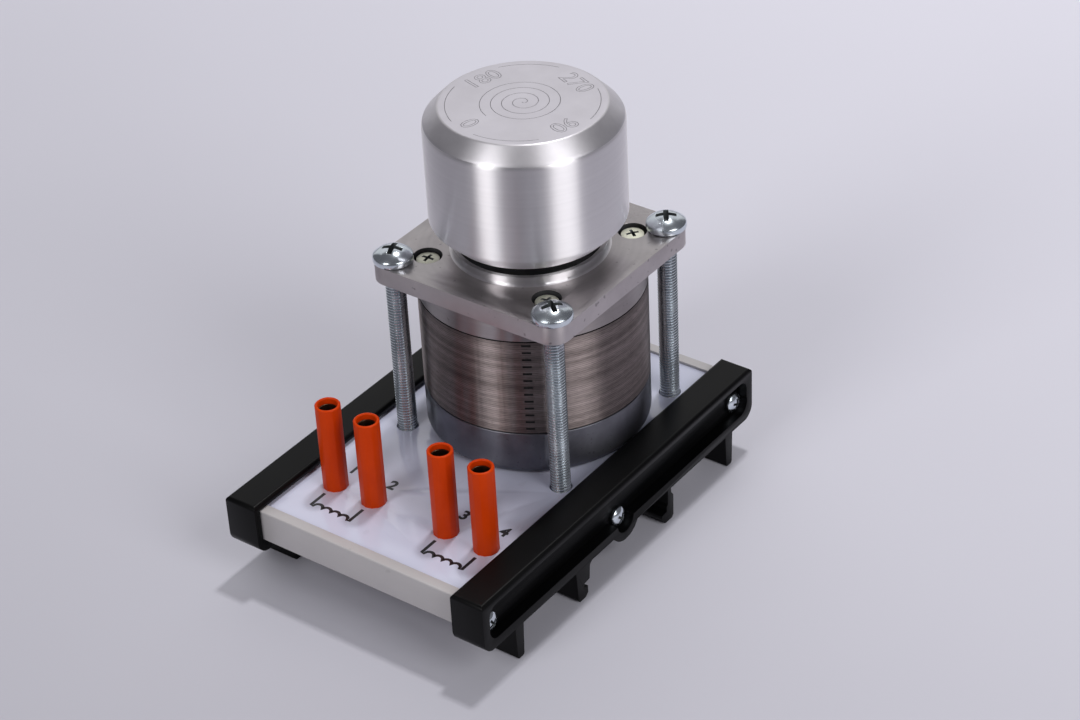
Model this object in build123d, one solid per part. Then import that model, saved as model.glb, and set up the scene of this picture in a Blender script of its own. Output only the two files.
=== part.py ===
from build123d import *
import math
import os

# A small hybrid stepping motor mounted upright on a rail carrier for teaching.
# Millimetres, +Z up. The origin lies on the table under the middle of the carrier.
# The terminals are at the -Y end, and the carrier's long side runs along Y.

os.makedirs("parts", exist_ok=True)

# --- Carrier: two moulded side elements on the ends of an extruded tray ---
MOTOR_ROOM = 2.6  # how much wider the space between the side elements is than the motor
ELEMENT_THICKNESS = 9.3
ELEMENT_OVERHANG = 1.95  # past the tray's front and rear faces
FOOT_HEIGHT = 9.3  # from the table to the underside of the beam
BEAM_HEIGHT = 14.3
BEAM_EDGE_RADIUS = 1.1
BEAM_END_RADIUS = 3.6
RECESS_DEPTH = 3.0
RECESS_RIM_TOP = 2.0
RECESS_RIM_BOTTOM = 2.5
RECESS_RIM_END = 2.5
RECESS_CORNER_RADIUS = 2.9
MIDDLE_BOSS_RADIUS = 5.7
MIDDLE_RECESS_RADIUS = 3.4
POCKET_DEPTH = 3.0  # how far the tray's ends sit inside the elements
POCKET_CLEARANCE = 0.15
LEG_EDGE_RADIUS = 0.6

FRONT_LEG_INSET = 13.2  # from the element's end to the leg's middle
REAR_LEG_INSET = 10.9
LEG_TOP_WIDTH = 3.3
LEG_FOOT_WIDTH = 2.4

RAIL_WIDTH = 35.0
RAIL_SLOT_HEIGHT = 1.4
RAIL_SLOT_Z = 3.2
RAIL_CLEARANCE = 0.4  # at the fixed jaw; the sprung jaw has none
HOOK_GRIP = 1.5  # how far each jaw reaches under the rail's flange
HOOK_WIDTH = 5.0
CATCH_GRIP = 2.1
CATCH_WIDTH = 3.0
CATCH_STEP = 0.9

# --- Tray profile and terminal plate ---
PROFILE_DEPTH = 109.7
PROFILE_WALL = 1.5
LIP_WIDTH = 2.9
LIP_THICKNESS = 0.75
LIP_DROP = 1.85  # from the top of the elements down to the lip
SHELF_WIDTH = 3.6
SHELF_THICKNESS = 1.2
WEB_THICKNESS = 1.4
CHANNEL_RADIUS = 2.3
CHANNEL_INSET = 3.2  # from the tray's outer face to a screw channel's axis
CHANNEL_RISE = 0.5  # end channels above the web's top
MIDDLE_CHANNEL_DROP = 2.5  # middle channel below the web's top
PLATE_THICKNESS = 2.0
PLATE_CLEARANCE = 0.1

SIDE_SCREW_HEAD_RADIUS = 2.65
SIDE_SCREW_HEAD_HEIGHT = 1.9
SIDE_SCREW_RADIUS = 1.25
SIDE_SCREW_LENGTH = 9.5
SCREW_CLEARANCE = 0.2

# --- Terminals ---
TERMINAL_Y = -35.97
OUTER_TERMINAL_X = 22.9  # from the motor axis
INNER_TERMINAL_X = 11.0
SLEEVE_RADIUS = 3.2
SLEEVE_HEIGHT = 24.0
SLEEVE_MOUTH_RADIUS = 2.4
SLEEVE_RIM_RADIUS = 0.5
SLEEVE_SIDE_COUNT = 12
SOCKET_BORE_RADIUS = 2.0
SOCKET_DEPTH = 19.0
CONTACT_DEPTH = 1.5  # from the mouth of the sleeve down to the contact
CONTACT_CLEARANCE = 0.05
TAIL_RADIUS = 1.5
TERMINAL_NUT_RADIUS = 2.75
TERMINAL_NUT_HEIGHT = 1.8
TAIL_BARE_LENGTH = 2.2

# --- Motor body ---
AXIS_X = 1.3
AXIS_Y = 16.63
REAR_BELL_HEIGHT = 12.2
STACK_LENGTH = 26.9
SKIRT_HEIGHT = 5.0
FLANGE_SIZE = 56.4  # also the body's diameter
FLANGE_THICKNESS = 4.7
FLANGE_CORNER_RADIUS = 4.6
BOSS_RADIUS = 19.05
BOSS_HEIGHT = 2.3
BOSS_FOOT_RADIUS = 0.6
BOSS_RECESS_RADIUS = 18.0
BOSS_RECESS_DEPTH = 4.7
SHAFT_OPENING_RADIUS = 5.2
BELL_EDGE_RADIUS = 2.5
BODY_WALL = 6.7
REAR_FLOOR = 2.4
BEARING_BOSS_RADIUS = 10.6
BEARING_LIP = 1.4

MOUNTING_INSET = 4.63  # from the flange's edge to a mounting hole
MOUNTING_SCREW_RADIUS = 2.5
MOUNTING_HEAD_RADIUS = 5.0
MOUNTING_HEAD_HEIGHT = 3.7
MOUNTING_HOLE_RADIUS = 2.75
WASHER_RADIUS = 4.9
WASHER_THICKNESS = 1.0
NUT_FLATS = 8.0
NUT_HEIGHT = 2.7
SCREW_END = 0.4  # thread showing past the nut
NUT_FLOOR_GAP = 0.3  # from the screw's end to the tray's web

ASSEMBLY_INSET = 3.2  # from the body's outside to an assembly screw
ASSEMBLY_SCREW_RADIUS = 1.5
ASSEMBLY_HOLE_RADIUS = 1.65
ASSEMBLY_HEAD_RADIUS = 2.9
ASSEMBLY_HEAD_HEIGHT = 2.3
COUNTERBORE_RADIUS = 3.6
COUNTERBORE_DEPTH = 2.8
ASSEMBLY_SCREW_REACH = 7.5  # thread inside the rear bell

# --- Stator ---
POLE_COUNT = 8
POLE_WIDTH = 6.4
SHOE_THICKNESS = 1.2
TOOTH_DEPTH = 0.7
ROTOR_TEETH = 50
TEETH_PER_POLE = 5
AIR_GAP = 0.3
WINDING_DEPTH = 6.3  # from the pole shoes out to the back iron
COIL_THICKNESS = 1.8
COIL_HEAD = 2.4
COIL_INSULATION = 0.2
INSULATOR_THICKNESS = 0.7
INSULATOR_WALL = 0.6
INSULATOR_FIT = 0.2
INSULATOR_WALL_HEIGHT = 3.2
MARK_COUNT = 13
MARK_PITCH = 2.0
MARK_LENGTH = 2.2
MARK_HEIGHT = 0.55
MARK_DEPTH = 0.4
MARK_ANGLE = -57.0
MARK_TOP_DROP = 1.2

# --- Rotor ---
SHAFT_RADIUS = 3.175
SHAFT_FIT = 0.01
SHAFT_PROJECTION = 20.6  # above the flange
SHAFT_FLAT_DEPTH = 0.5
CUP_LENGTH = 12.0
MAGNET_LENGTH = 2.4
MAGNET_STEP = 1.6  # how far the magnet lies inside the cups' teeth
KNOB_RADIUS = 24.12
KNOB_HEIGHT = 33.65
KNOB_GAP = 2.9  # between the boss and the knob
KNOB_TOP_CHAMFER = 3.95
KNOB_BOTTOM_CHAMFER = 4.25
GRUB_RADIUS = 2.0
GRUB_LENGTH = 8.0
GRUB_HEIGHT = 9.6  # above the knob's underside
GRUB_ANGLE = 128.0
GRUB_KEY_RADIUS = 1.15
GRUB_KEY_DEPTH = 2.2
THREAD_CLEARANCE = 0.08

# --- Bearings ---
BEARING_RADIUS = 7.94
BEARING_WIDTH = 4.98
BEARING_SEAT_FIT = 0.01
BALL_RADIUS = 1.19
BALL_COUNT = 7
BALL_CLEARANCE = 0.05
RING_GAP_HALF = 0.8  # from the ball circle to either ring
CAGE_THICKNESS = 0.8
CAGE_HEIGHT = 2.9
CAGE_BALL_GAP = 0.1
SHIELD_THICKNESS = 0.25
SHIELD_INSET = 0.15
SHIELD_GAP = 0.1
SPRING_THICKNESS = 0.5
SPRING_WIDTH = 1.5

# --- Leads between the coils and the terminals ---
LEAD_RADIUS = 0.65
LEAD_PITCH = 1.75
LEAD_BEND_RADIUS = 3.0
LEAD_TURN_RADIUS = 5.0
LEAD_FIRST_RUN = 8.0
LEAD_LAST_RUN = 9.0
LEAD_EXIT_RADIUS = 16.8  # from the motor axis
LEAD_FLOOR_GAP = 0.35
GROMMET_WALL = 0.7
GROMMET_FLANGE = 0.6

# --- Heights, all from the table ---
BEAM_TOP = FOOT_HEIGHT + BEAM_HEIGHT
LIP_TOP = BEAM_TOP - LIP_DROP
PLATE_TOP = LIP_TOP - LIP_THICKNESS
PLATE_BOTTOM = PLATE_TOP - PLATE_THICKNESS
WASHER_BOTTOM = PLATE_BOTTOM - WASHER_THICKNESS
NUT_BOTTOM = WASHER_BOTTOM - NUT_HEIGHT
MOUNTING_SCREW_END = NUT_BOTTOM - SCREW_END
WEB_TOP = MOUNTING_SCREW_END - NUT_FLOOR_GAP
WEB_BOTTOM = WEB_TOP - WEB_THICKNESS
CHANNEL_Z = WEB_TOP + CHANNEL_RISE
MIDDLE_CHANNEL_Z = WEB_TOP - MIDDLE_CHANNEL_DROP
STACK_BOTTOM = PLATE_TOP + REAR_BELL_HEIGHT
STACK_TOP = STACK_BOTTOM + STACK_LENGTH
FLANGE_BOTTOM = STACK_TOP + SKIRT_HEIGHT
FLANGE_TOP = FLANGE_BOTTOM + FLANGE_THICKNESS
BOSS_TOP = FLANGE_TOP + BOSS_HEIGHT
KNOB_BOTTOM = BOSS_TOP + KNOB_GAP
KNOB_TOP = KNOB_BOTTOM + KNOB_HEIGHT
COUNTERBORE_FLOOR = FLANGE_TOP - COUNTERBORE_DEPTH
ASSEMBLY_SCREW_END = STACK_BOTTOM - ASSEMBLY_SCREW_REACH

# --- Places across the carrier ---
INNER_WIDTH = FLANGE_SIZE + MOTOR_ROOM
X_IN = INNER_WIDTH / 2
X_OUT = X_IN + ELEMENT_THICKNESS
X_POCKET = X_IN + POCKET_DEPTH
X_TRAY_END = X_POCKET - POCKET_CLEARANCE
X_RECESS = X_OUT - RECESS_DEPTH
Y_WALL = PROFILE_DEPTH / 2
Y_END = Y_WALL + ELEMENT_OVERHANG
FRONT_LEG_Y = -Y_END + FRONT_LEG_INSET
REAR_LEG_Y = Y_END - REAR_LEG_INSET
Y_CHANNEL = Y_WALL - CHANNEL_INSET
Y_PLATE = Y_WALL - PROFILE_WALL - PLATE_CLEARANCE
SIDE_SCREW_PLACES = [(-Y_CHANNEL, CHANNEL_Z), (0.0, MIDDLE_CHANNEL_Z), (Y_CHANNEL, CHANNEL_Z)]
TERMINAL_X = [AXIS_X + x for x in (-OUTER_TERMINAL_X, -INNER_TERMINAL_X, INNER_TERMINAL_X, OUTER_TERMINAL_X)]
BODY_RADIUS = FLANGE_SIZE / 2
CAVITY_RADIUS = BODY_RADIUS - BODY_WALL
HALF_SQUARE = FLANGE_SIZE / 2 - MOUNTING_INSET
MOUNTING_PLACES = [(AXIS_X + sx * HALF_SQUARE, AXIS_Y + sy * HALF_SQUARE) for sx in (-1, 1) for sy in (-1, 1)]
ASSEMBLY_OFFSET = (BODY_RADIUS - ASSEMBLY_INSET) / math.sqrt(2)
ASSEMBLY_PLACES = [
    (AXIS_X + sx * ASSEMBLY_OFFSET, AXIS_Y + sy * ASSEMBLY_OFFSET) for sx in (-1, 1) for sy in (-1, 1)
]
MOTOR = Pos(AXIS_X, AXIS_Y, 0)
CUT = 1.0  # how far a cutting solid runs past the face that it opens


def cylinder(radius, low, high, x=0.0, y=0.0):
    """An upright cylinder between two heights."""
    return Pos(x, y, (low + high) / 2) * Cylinder(radius, high - low)


def tube(outer, inner, low, high):
    """An upright ring about the Z axis."""
    return cylinder(outer, low, high) - cylinder(inner, low - CUT, high + CUT)


def block(x_range, y_range, z_range):
    """A box between two corners, each axis given as low and high."""
    size = [high - low for low, high in (x_range, y_range, z_range)]
    middle = [(low + high) / 2 for low, high in (x_range, y_range, z_range)]
    return Pos(*middle) * Box(*size)


def side_prism(points, x_low, x_high):
    """A prism along X whose outline is a list of (y, z) points."""
    outline = make_face(Polyline(*[(0, y, z) for y, z in points], close=True))
    return Pos(x_low, 0, 0) * extrude(outline, amount=x_high - x_low, dir=(1, 0, 0))


def rod_x(radius, x_low, x_high, y, z):
    """A round rod along X."""
    return Pos((x_low + x_high) / 2, y, z) * Rot(0, 90, 0) * Cylinder(radius, x_high - x_low)


def turned(points):
    """A solid of revolution about Z from (radius, height) points."""
    outline = make_face(Polyline(*[(r, 0, z) for r, z in points], close=True))
    return revolve(outline, axis=Axis.Z)


def cross_recess(radius, depth):
    """A cross-shaped driver recess whose mouth is at height zero."""
    arm = Box(2 * radius, 0.42 * radius, depth)
    across = Box(0.42 * radius, 2 * radius, depth)
    return Pos(0, 0, -depth / 2) * (arm + across)


def pan_screw(head_radius, head_height, shank_radius, length):
    """A pan-head screw pointing down, with the underside of its head at height zero."""
    crown = 0.45 * head_height
    side = head_height - crown
    head = cylinder(head_radius, 0, side)
    dome_radius = (head_radius**2 + crown**2) / (2 * crown)
    dome = Pos(0, 0, head_height - dome_radius) * Sphere(dome_radius)
    head += dome & cylinder(head_radius, side, head_height + CUT)
    shank = cylinder(shank_radius, -length, 0)
    shank = chamfer(shank.edges().sort_by(Axis.Z)[0], 0.25 * shank_radius)
    recess = Pos(0, 0, head_height) * cross_recess(0.52 * head_radius, 0.6 * head_height)
    return head + shank - recess


def save(shape, node):
    """Write one node's solid, or group of solids, to its own file."""
    export_step(shape, "parts/" + node + ".step")


def group(solids):
    """Several separate solids of one node."""
    return Compound(children=list(solids))


# --- Side elements ---
def leg(y_middle):
    """A tapering foot under the beam."""
    top = FOOT_HEIGHT + RECESS_RIM_BOTTOM / 2
    half_top = LEG_TOP_WIDTH / 2
    half_foot = LEG_FOOT_WIDTH / 2
    points = [
        (y_middle - half_top, top),
        (y_middle + half_top, top),
        (y_middle + half_foot, 0),
        (y_middle - half_foot, 0),
    ]
    solid = side_prism(points, X_IN, X_OUT)
    low_edges = solid.edges().filter_by(Axis.X).sort_by(Axis.Z)[:2]
    return fillet(low_edges, LEG_EDGE_RADIUS)


def rail_hook():
    """The fixed jaw, open towards +Y, that takes the rail's front flange."""
    top = FOOT_HEIGHT + RECESS_RIM_BOTTOM / 2
    slot_end = -RAIL_WIDTH / 2 - RAIL_CLEARANCE
    slot_top = RAIL_SLOT_Z + RAIL_SLOT_HEIGHT
    tip = slot_end + HOOK_GRIP
    face = tip + 0.5 * HOOK_GRIP
    back = face - HOOK_WIDTH
    points = [
        (back - 0.3, top),
        (face + 1.3, top),
        (face + 1.3, FOOT_HEIGHT),
        (face + 0.4, FOOT_HEIGHT - 0.8),
        (face, slot_top),
        (slot_end, slot_top - 0.3),
        (slot_end, RAIL_SLOT_Z),
        (tip, RAIL_SLOT_Z - 0.3),
        (tip, 1.0),
        (tip - 1.0, 0),
        (back + 0.9, 0),
        (back + 0.3, 0.9),
    ]
    return side_prism(points, X_IN, X_OUT)


def rail_catch():
    """The sprung jaw, open towards -Y, that snaps over the rail's rear flange."""
    top = FOOT_HEIGHT + RECESS_RIM_BOTTOM / 2
    slot_end = RAIL_WIDTH / 2
    slot_top = RAIL_SLOT_Z + RAIL_SLOT_HEIGHT
    nose = slot_end - CATCH_GRIP
    back = slot_end + CATCH_WIDTH
    points = [
        (slot_end + 0.8, top),
        (back - CATCH_STEP, top),
        (back - CATCH_STEP, FOOT_HEIGHT - 1.3),
        (back, FOOT_HEIGHT - 2.6),
        (back - 0.1, 0.8),
        (back - 0.7, 0),
        (nose + 1.6, 0),
        (nose + 0.9, 0.5),
        (nose, RAIL_SLOT_Z - 1.0),
        (nose, RAIL_SLOT_Z - 0.2),
        (slot_end, RAIL_SLOT_Z),
        (slot_end, slot_top),
        (slot_end + 0.5, slot_top + 0.6),
    ]
    return side_prism(points, X_IN, X_OUT)


def tray_outline(margin, x_low, x_high):
    """The space that the tray's end takes up, grown by a margin."""
    y_range = (-Y_WALL - margin, Y_WALL + margin)
    body = block((x_low, x_high), y_range, (WEB_BOTTOM - margin, LIP_TOP + margin))
    for y, z in SIDE_SCREW_PLACES:
        body += rod_x(CHANNEL_RADIUS + margin, x_low, x_high, y, z)
    return body


def side_element():
    """The right-hand moulding: beam, four feet, pocket for the tray and screw recess."""
    beam = block((X_IN, X_OUT), (-Y_END, Y_END), (FOOT_HEIGHT, BEAM_TOP))
    beam += rod_x(MIDDLE_BOSS_RADIUS, X_IN, X_OUT, 0, MIDDLE_CHANNEL_Z)
    lower_ends = beam.edges().filter_by(Axis.X).filter_by(lambda edge: abs(edge.center().Y) > Y_END - CUT)
    beam = fillet(lower_ends.filter_by(lambda edge: edge.center().Z < FOOT_HEIGHT + CUT), BEAM_END_RADIUS)
    top_rim = beam.faces().sort_by(Axis.Z)[-1].edges()
    beam = fillet(top_rim, BEAM_EDGE_RADIUS)
    for foot in (leg(FRONT_LEG_Y), leg(REAR_LEG_Y), rail_hook(), rail_catch()):
        beam += foot

    low = FOOT_HEIGHT + RECESS_RIM_BOTTOM
    high = BEAM_TOP - RECESS_RIM_TOP
    y_rim = Y_END - RECESS_RIM_END
    recess = block((X_RECESS, X_OUT + CUT), (-y_rim, y_rim), (low, high))
    recess = fillet(recess.edges().filter_by(Axis.X), RECESS_CORNER_RADIUS)
    recess += rod_x(MIDDLE_RECESS_RADIUS, X_RECESS, X_OUT + CUT, 0, MIDDLE_CHANNEL_Z)
    for y, z in SIDE_SCREW_PLACES:
        recess += rod_x(SIDE_SCREW_HEAD_RADIUS + SCREW_CLEARANCE, X_RECESS, X_OUT + CUT, y, z)
    beam -= recess
    beam -= tray_outline(POCKET_CLEARANCE, X_IN - CUT, X_POCKET)
    for y, z in SIDE_SCREW_PLACES:
        beam -= rod_x(SIDE_SCREW_RADIUS + SCREW_CLEARANCE, X_IN, X_OUT, y, z)
    return beam


right_element = side_element()
left_element = mirror(right_element, about=Plane.YZ)
save(right_element, "side_element_right")
save(left_element, "side_element_left")

side_screw = pan_screw(SIDE_SCREW_HEAD_RADIUS, SIDE_SCREW_HEAD_HEIGHT, SIDE_SCREW_RADIUS, SIDE_SCREW_LENGTH)
side_screws = []
for place_y, place_z in SIDE_SCREW_PLACES:
    side_screws.append(Pos(X_RECESS, place_y, place_z) * Rot(0, 90, 0) * side_screw)
    side_screws.append(Pos(-X_RECESS, place_y, place_z) * Rot(0, -90, 0) * side_screw)
save(group(side_screws), "side_screws")


# --- Tray profile ---
def tray_profile():
    """The extruded tray: two lipped walls, plate shelves, a web and three screw channels."""
    along = (-X_TRAY_END, X_TRAY_END)
    tray = block(along, (-Y_WALL, Y_WALL), (WEB_BOTTOM, WEB_TOP))
    for side in (-1, 1):
        wall = sorted((side * Y_WALL, side * (Y_WALL - PROFILE_WALL)))
        tray += block(along, wall, (WEB_BOTTOM, LIP_TOP))
        lip = sorted((side * Y_WALL, side * (Y_WALL - LIP_WIDTH)))
        tray += block(along, lip, (PLATE_TOP, LIP_TOP))
        shelf = sorted((side * Y_WALL, side * (Y_WALL - SHELF_WIDTH)))
        tray += block(along, shelf, (PLATE_BOTTOM - SHELF_THICKNESS, PLATE_BOTTOM))
    corners = tray.edges().filter_by(Axis.X).filter_by(lambda edge: abs(edge.center().Y) > Y_WALL - 0.01)
    tray = fillet(corners.filter_by(lambda edge: edge.center().Z > LIP_TOP - 0.01), LIP_THICKNESS / 2)
    for y, z in SIDE_SCREW_PLACES:
        tray += rod_x(CHANNEL_RADIUS, *along, y, z)
    for y, z in SIDE_SCREW_PLACES:
        tray -= rod_x(SIDE_SCREW_RADIUS + 0.05, along[0] - CUT, along[1] + CUT, y, z)
    return tray


save(tray_profile(), "carrier_profile")


# --- Terminal plate ---
def lead_slot(margin, low, high):
    """The oblong way for the four leads below the rear bell."""
    length = 3 * LEAD_PITCH + 2 * LEAD_RADIUS + 2 * margin
    width = 2 * LEAD_RADIUS + 2 * margin
    slot = extrude(SlotOverall(length, width), amount=high - low)
    return Pos(AXIS_X, AXIS_Y - LEAD_EXIT_RADIUS, low) * slot


def terminal_plate():
    """The plate that slides in under the lips of the tray."""
    x_range = (-X_TRAY_END, X_TRAY_END)
    plate = block(x_range, (-Y_PLATE, Y_PLATE), (PLATE_BOTTOM, PLATE_TOP))
    for x, y in MOUNTING_PLACES:
        plate -= cylinder(MOUNTING_HOLE_RADIUS, PLATE_BOTTOM - CUT, PLATE_TOP + CUT, x, y)
    for x in TERMINAL_X:
        plate -= cylinder(TAIL_RADIUS + THREAD_CLEARANCE, PLATE_BOTTOM - CUT, PLATE_TOP + CUT, x, TERMINAL_Y)
    plate -= lead_slot(LEAD_RADIUS, PLATE_BOTTOM - CUT, PLATE_TOP + CUT)
    return plate


save(terminal_plate(), "terminal_plate")


# --- Terminals ---
SLEEVE_TOP = PLATE_TOP + SLEEVE_HEIGHT
CONTACT_TOP = SLEEVE_TOP - CONTACT_DEPTH
SOCKET_FLOOR = CONTACT_TOP - SOCKET_DEPTH
TERMINAL_NUT_BOTTOM = PLATE_BOTTOM - TERMINAL_NUT_HEIGHT
TAIL_END = TERMINAL_NUT_BOTTOM - TAIL_BARE_LENGTH


def socket_sleeve():
    """The insulating sleeve: a twelve-sided tube with a rounded rim."""
    rim = SLEEVE_RIM_RADIUS
    outer = SLEEVE_RADIUS
    inner = SLEEVE_MOUTH_RADIUS
    body = cylinder(outer, PLATE_TOP, SLEEVE_TOP)
    body = fillet(body.edges().sort_by(Axis.Z)[-1], rim)
    flats = extrude(RegularPolygon(outer + 0.02, SLEEVE_SIDE_COUNT), amount=SLEEVE_TOP - PLATE_TOP)
    body &= Pos(0, 0, PLATE_TOP) * flats
    body -= cylinder(inner, PLATE_TOP - CUT, SLEEVE_TOP + CUT)
    mouth = Pos(0, 0, SLEEVE_TOP - rim / 4) * Cone(inner, inner + rim / 2, rim / 2)
    return body - mouth


def socket_contact():
    """The metal contact tube with its threaded tail below the plate."""
    radius = SLEEVE_MOUTH_RADIUS - CONTACT_CLEARANCE
    contact = cylinder(radius, PLATE_TOP, CONTACT_TOP)
    contact -= cylinder(SOCKET_BORE_RADIUS, SOCKET_FLOOR, CONTACT_TOP + CUT)
    return contact + cylinder(TAIL_RADIUS, TAIL_END, PLATE_TOP)


sleeve = socket_sleeve()
contact = socket_contact()
terminal_nuts = []
for number, terminal_x in enumerate(TERMINAL_X, start=1):
    place = Pos(terminal_x, TERMINAL_Y, 0)
    save(place * sleeve, "socket_sleeve_" + str(number))
    save(place * contact, "socket_contact_" + str(number))
    nut = extrude(RegularPolygon(TERMINAL_NUT_RADIUS, 6), amount=TERMINAL_NUT_HEIGHT)
    nut = Pos(0, 0, TERMINAL_NUT_BOTTOM) * nut
    nut -= cylinder(TAIL_RADIUS + THREAD_CLEARANCE, TERMINAL_NUT_BOTTOM - CUT, PLATE_BOTTOM + CUT)
    terminal_nuts.append(place * nut)
save(group(terminal_nuts), "terminal_nuts")

# --- Mounting screws, washers and nuts ---
mounting_screw = pan_screw(
    MOUNTING_HEAD_RADIUS, MOUNTING_HEAD_HEIGHT, MOUNTING_SCREW_RADIUS, FLANGE_TOP - MOUNTING_SCREW_END
)
washer = tube(WASHER_RADIUS, MOUNTING_HOLE_RADIUS, WASHER_BOTTOM, PLATE_BOTTOM)
hexagon = RegularPolygon(NUT_FLATS / 2, 6, major_radius=False)
mounting_nut = Pos(0, 0, NUT_BOTTOM) * extrude(hexagon, amount=NUT_HEIGHT)
mounting_nut -= cylinder(MOUNTING_SCREW_RADIUS + THREAD_CLEARANCE, NUT_BOTTOM - CUT, WASHER_BOTTOM + CUT)
save(group(Pos(x, y, FLANGE_TOP) * mounting_screw for x, y in MOUNTING_PLACES), "mounting_screws")
save(group(Pos(x, y, 0) * washer for x, y in MOUNTING_PLACES), "mounting_washers")
save(group(Pos(x, y, 0) * mounting_nut for x, y in MOUNTING_PLACES), "mounting_nuts")

# --- Bearing places ---
SEAT_RADIUS = BEARING_RADIUS + BEARING_SEAT_FIT
REAR_SEAT_FLOOR = PLATE_TOP + BEARING_LIP
REAR_BEARING_BOTTOM = REAR_SEAT_FLOOR + SPRING_THICKNESS
REAR_BEARING_TOP = REAR_BEARING_BOTTOM + BEARING_WIDTH
FRONT_BEARING_TOP = BOSS_TOP - BOSS_RECESS_DEPTH - BEARING_LIP
FRONT_BEARING_BOTTOM = FRONT_BEARING_TOP - BEARING_WIDTH


# --- Front flange ---
def front_flange():
    """The square mounting flange with its boss, skirt and bearing seat."""
    flange = Pos(0, 0, FLANGE_BOTTOM) * extrude(
        RectangleRounded(FLANGE_SIZE, FLANGE_SIZE, FLANGE_CORNER_RADIUS), amount=FLANGE_THICKNESS
    )
    flange += cylinder(BODY_RADIUS, STACK_TOP, FLANGE_BOTTOM)
    flange += cylinder(BOSS_RADIUS, FLANGE_TOP, BOSS_TOP)
    rings = flange.edges().filter_by(GeomType.CIRCLE).filter_by(lambda edge: abs(edge.radius - BOSS_RADIUS) < 0.01)
    flange = fillet(rings.sort_by(Axis.Z)[0], BOSS_FOOT_RADIUS)
    flange -= cylinder(BOSS_RECESS_RADIUS, BOSS_TOP - BOSS_RECESS_DEPTH, BOSS_TOP + CUT)
    flange -= cylinder(SHAFT_OPENING_RADIUS, STACK_TOP, BOSS_TOP + CUT)
    flange -= cylinder(SEAT_RADIUS, STACK_TOP - CUT, FRONT_BEARING_TOP)
    cavity_top = STACK_TOP + COIL_HEAD + INSULATOR_THICKNESS + COIL_INSULATION + 0.5
    flange -= tube(CAVITY_RADIUS, BEARING_BOSS_RADIUS, STACK_TOP - CUT, cavity_top)
    rotor_room = STACK_TOP + COIL_HEAD
    flange -= cylinder(BEARING_BOSS_RADIUS + CUT, STACK_TOP - CUT, min(rotor_room, FRONT_BEARING_BOTTOM))
    for x, y in MOUNTING_PLACES:
        hole = cylinder(MOUNTING_HOLE_RADIUS, FLANGE_BOTTOM - CUT, FLANGE_TOP + CUT)
        flange -= Pos(x - AXIS_X, y - AXIS_Y, 0) * hole
    for x, y in ASSEMBLY_PLACES:
        hole = cylinder(ASSEMBLY_HOLE_RADIUS, STACK_TOP - CUT, FLANGE_TOP)
        hole += cylinder(COUNTERBORE_RADIUS, COUNTERBORE_FLOOR, FLANGE_TOP + CUT)
        flange -= Pos(x - AXIS_X, y - AXIS_Y, 0) * hole
    return MOTOR * flange


save(front_flange(), "front_flange")


# --- Rear bell ---
def rear_bell():
    """The cast cup under the stator, with a bearing seat and the leads' way out."""
    bell = cylinder(BODY_RADIUS, PLATE_TOP, STACK_BOTTOM)
    bell = fillet(bell.edges().sort_by(Axis.Z)[0], BELL_EDGE_RADIUS)
    bell -= cylinder(CAVITY_RADIUS, PLATE_TOP + REAR_FLOOR, STACK_BOTTOM + CUT)
    bell += cylinder(BEARING_BOSS_RADIUS, PLATE_TOP, REAR_BEARING_TOP)
    bell -= cylinder(SEAT_RADIUS, REAR_SEAT_FLOOR, STACK_BOTTOM + CUT)
    bell = MOTOR * bell
    bell -= lead_slot(LEAD_RADIUS, PLATE_TOP - CUT, PLATE_TOP + REAR_FLOOR + CUT)
    for x, y in ASSEMBLY_PLACES:
        bell -= cylinder(ASSEMBLY_SCREW_RADIUS + THREAD_CLEARANCE, ASSEMBLY_SCREW_END - CUT, STACK_BOTTOM + CUT, x, y)
    return bell


save(rear_bell(), "rear_bell")

assembly_screw = pan_screw(
    ASSEMBLY_HEAD_RADIUS, ASSEMBLY_HEAD_HEIGHT, ASSEMBLY_SCREW_RADIUS, COUNTERBORE_FLOOR - ASSEMBLY_SCREW_END
)
save(group(Pos(x, y, COUNTERBORE_FLOOR) * assembly_screw for x, y in ASSEMBLY_PLACES), "assembly_screws")

# --- Stator ---
POLE_PITCH = 360 / POLE_COUNT
TOOTH_PITCH = 360 / ROTOR_TEETH
SHOE_RADIUS = CAVITY_RADIUS - WINDING_DEPTH
BORE_RADIUS = SHOE_RADIUS - SHOE_THICKNESS - TOOTH_DEPTH
SHOE_HALF_ANGLE = (TEETH_PER_POLE - 0.5) * TOOTH_PITCH / 2
TOOTH_GAP = math.radians(TOOTH_PITCH / 2) * BORE_RADIUS


def sector(radius, half_angle):
    """A flat wedge about the +X axis, long enough to clear the given radius."""
    reach = 2 * radius
    rise = reach * math.tan(math.radians(half_angle))
    return make_face(Polyline((0, 0), (reach, -rise), (reach, rise), close=True))


def stator_section():
    """The stator lamination: back iron, eight toothed poles and four screw holes."""
    pole = Pos(BORE_RADIUS + (CAVITY_RADIUS - BORE_RADIUS) / 2 + 0.5, 0) * Rectangle(
        CAVITY_RADIUS - BORE_RADIUS, POLE_WIDTH
    )
    pole += Circle(SHOE_RADIUS) & sector(SHOE_RADIUS, SHOE_HALF_ANGLE)
    for step in range(TEETH_PER_POLE - 1):
        angle = (step - (TEETH_PER_POLE - 2) / 2) * TOOTH_PITCH
        gap = Pos(BORE_RADIUS + TOOTH_DEPTH / 2 - CUT / 2, 0) * Rectangle(TOOTH_DEPTH + CUT, TOOTH_GAP)
        pole -= Rot(0, 0, angle) * gap
    section = Circle(BODY_RADIUS) - Circle(CAVITY_RADIUS)
    for number in range(POLE_COUNT):
        section += Rot(0, 0, number * POLE_PITCH) * pole
    section -= Circle(BORE_RADIUS)
    for x, y in ASSEMBLY_PLACES:
        section -= Pos(x - AXIS_X, y - AXIS_Y) * Circle(ASSEMBLY_HOLE_RADIUS)
    return section


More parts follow.
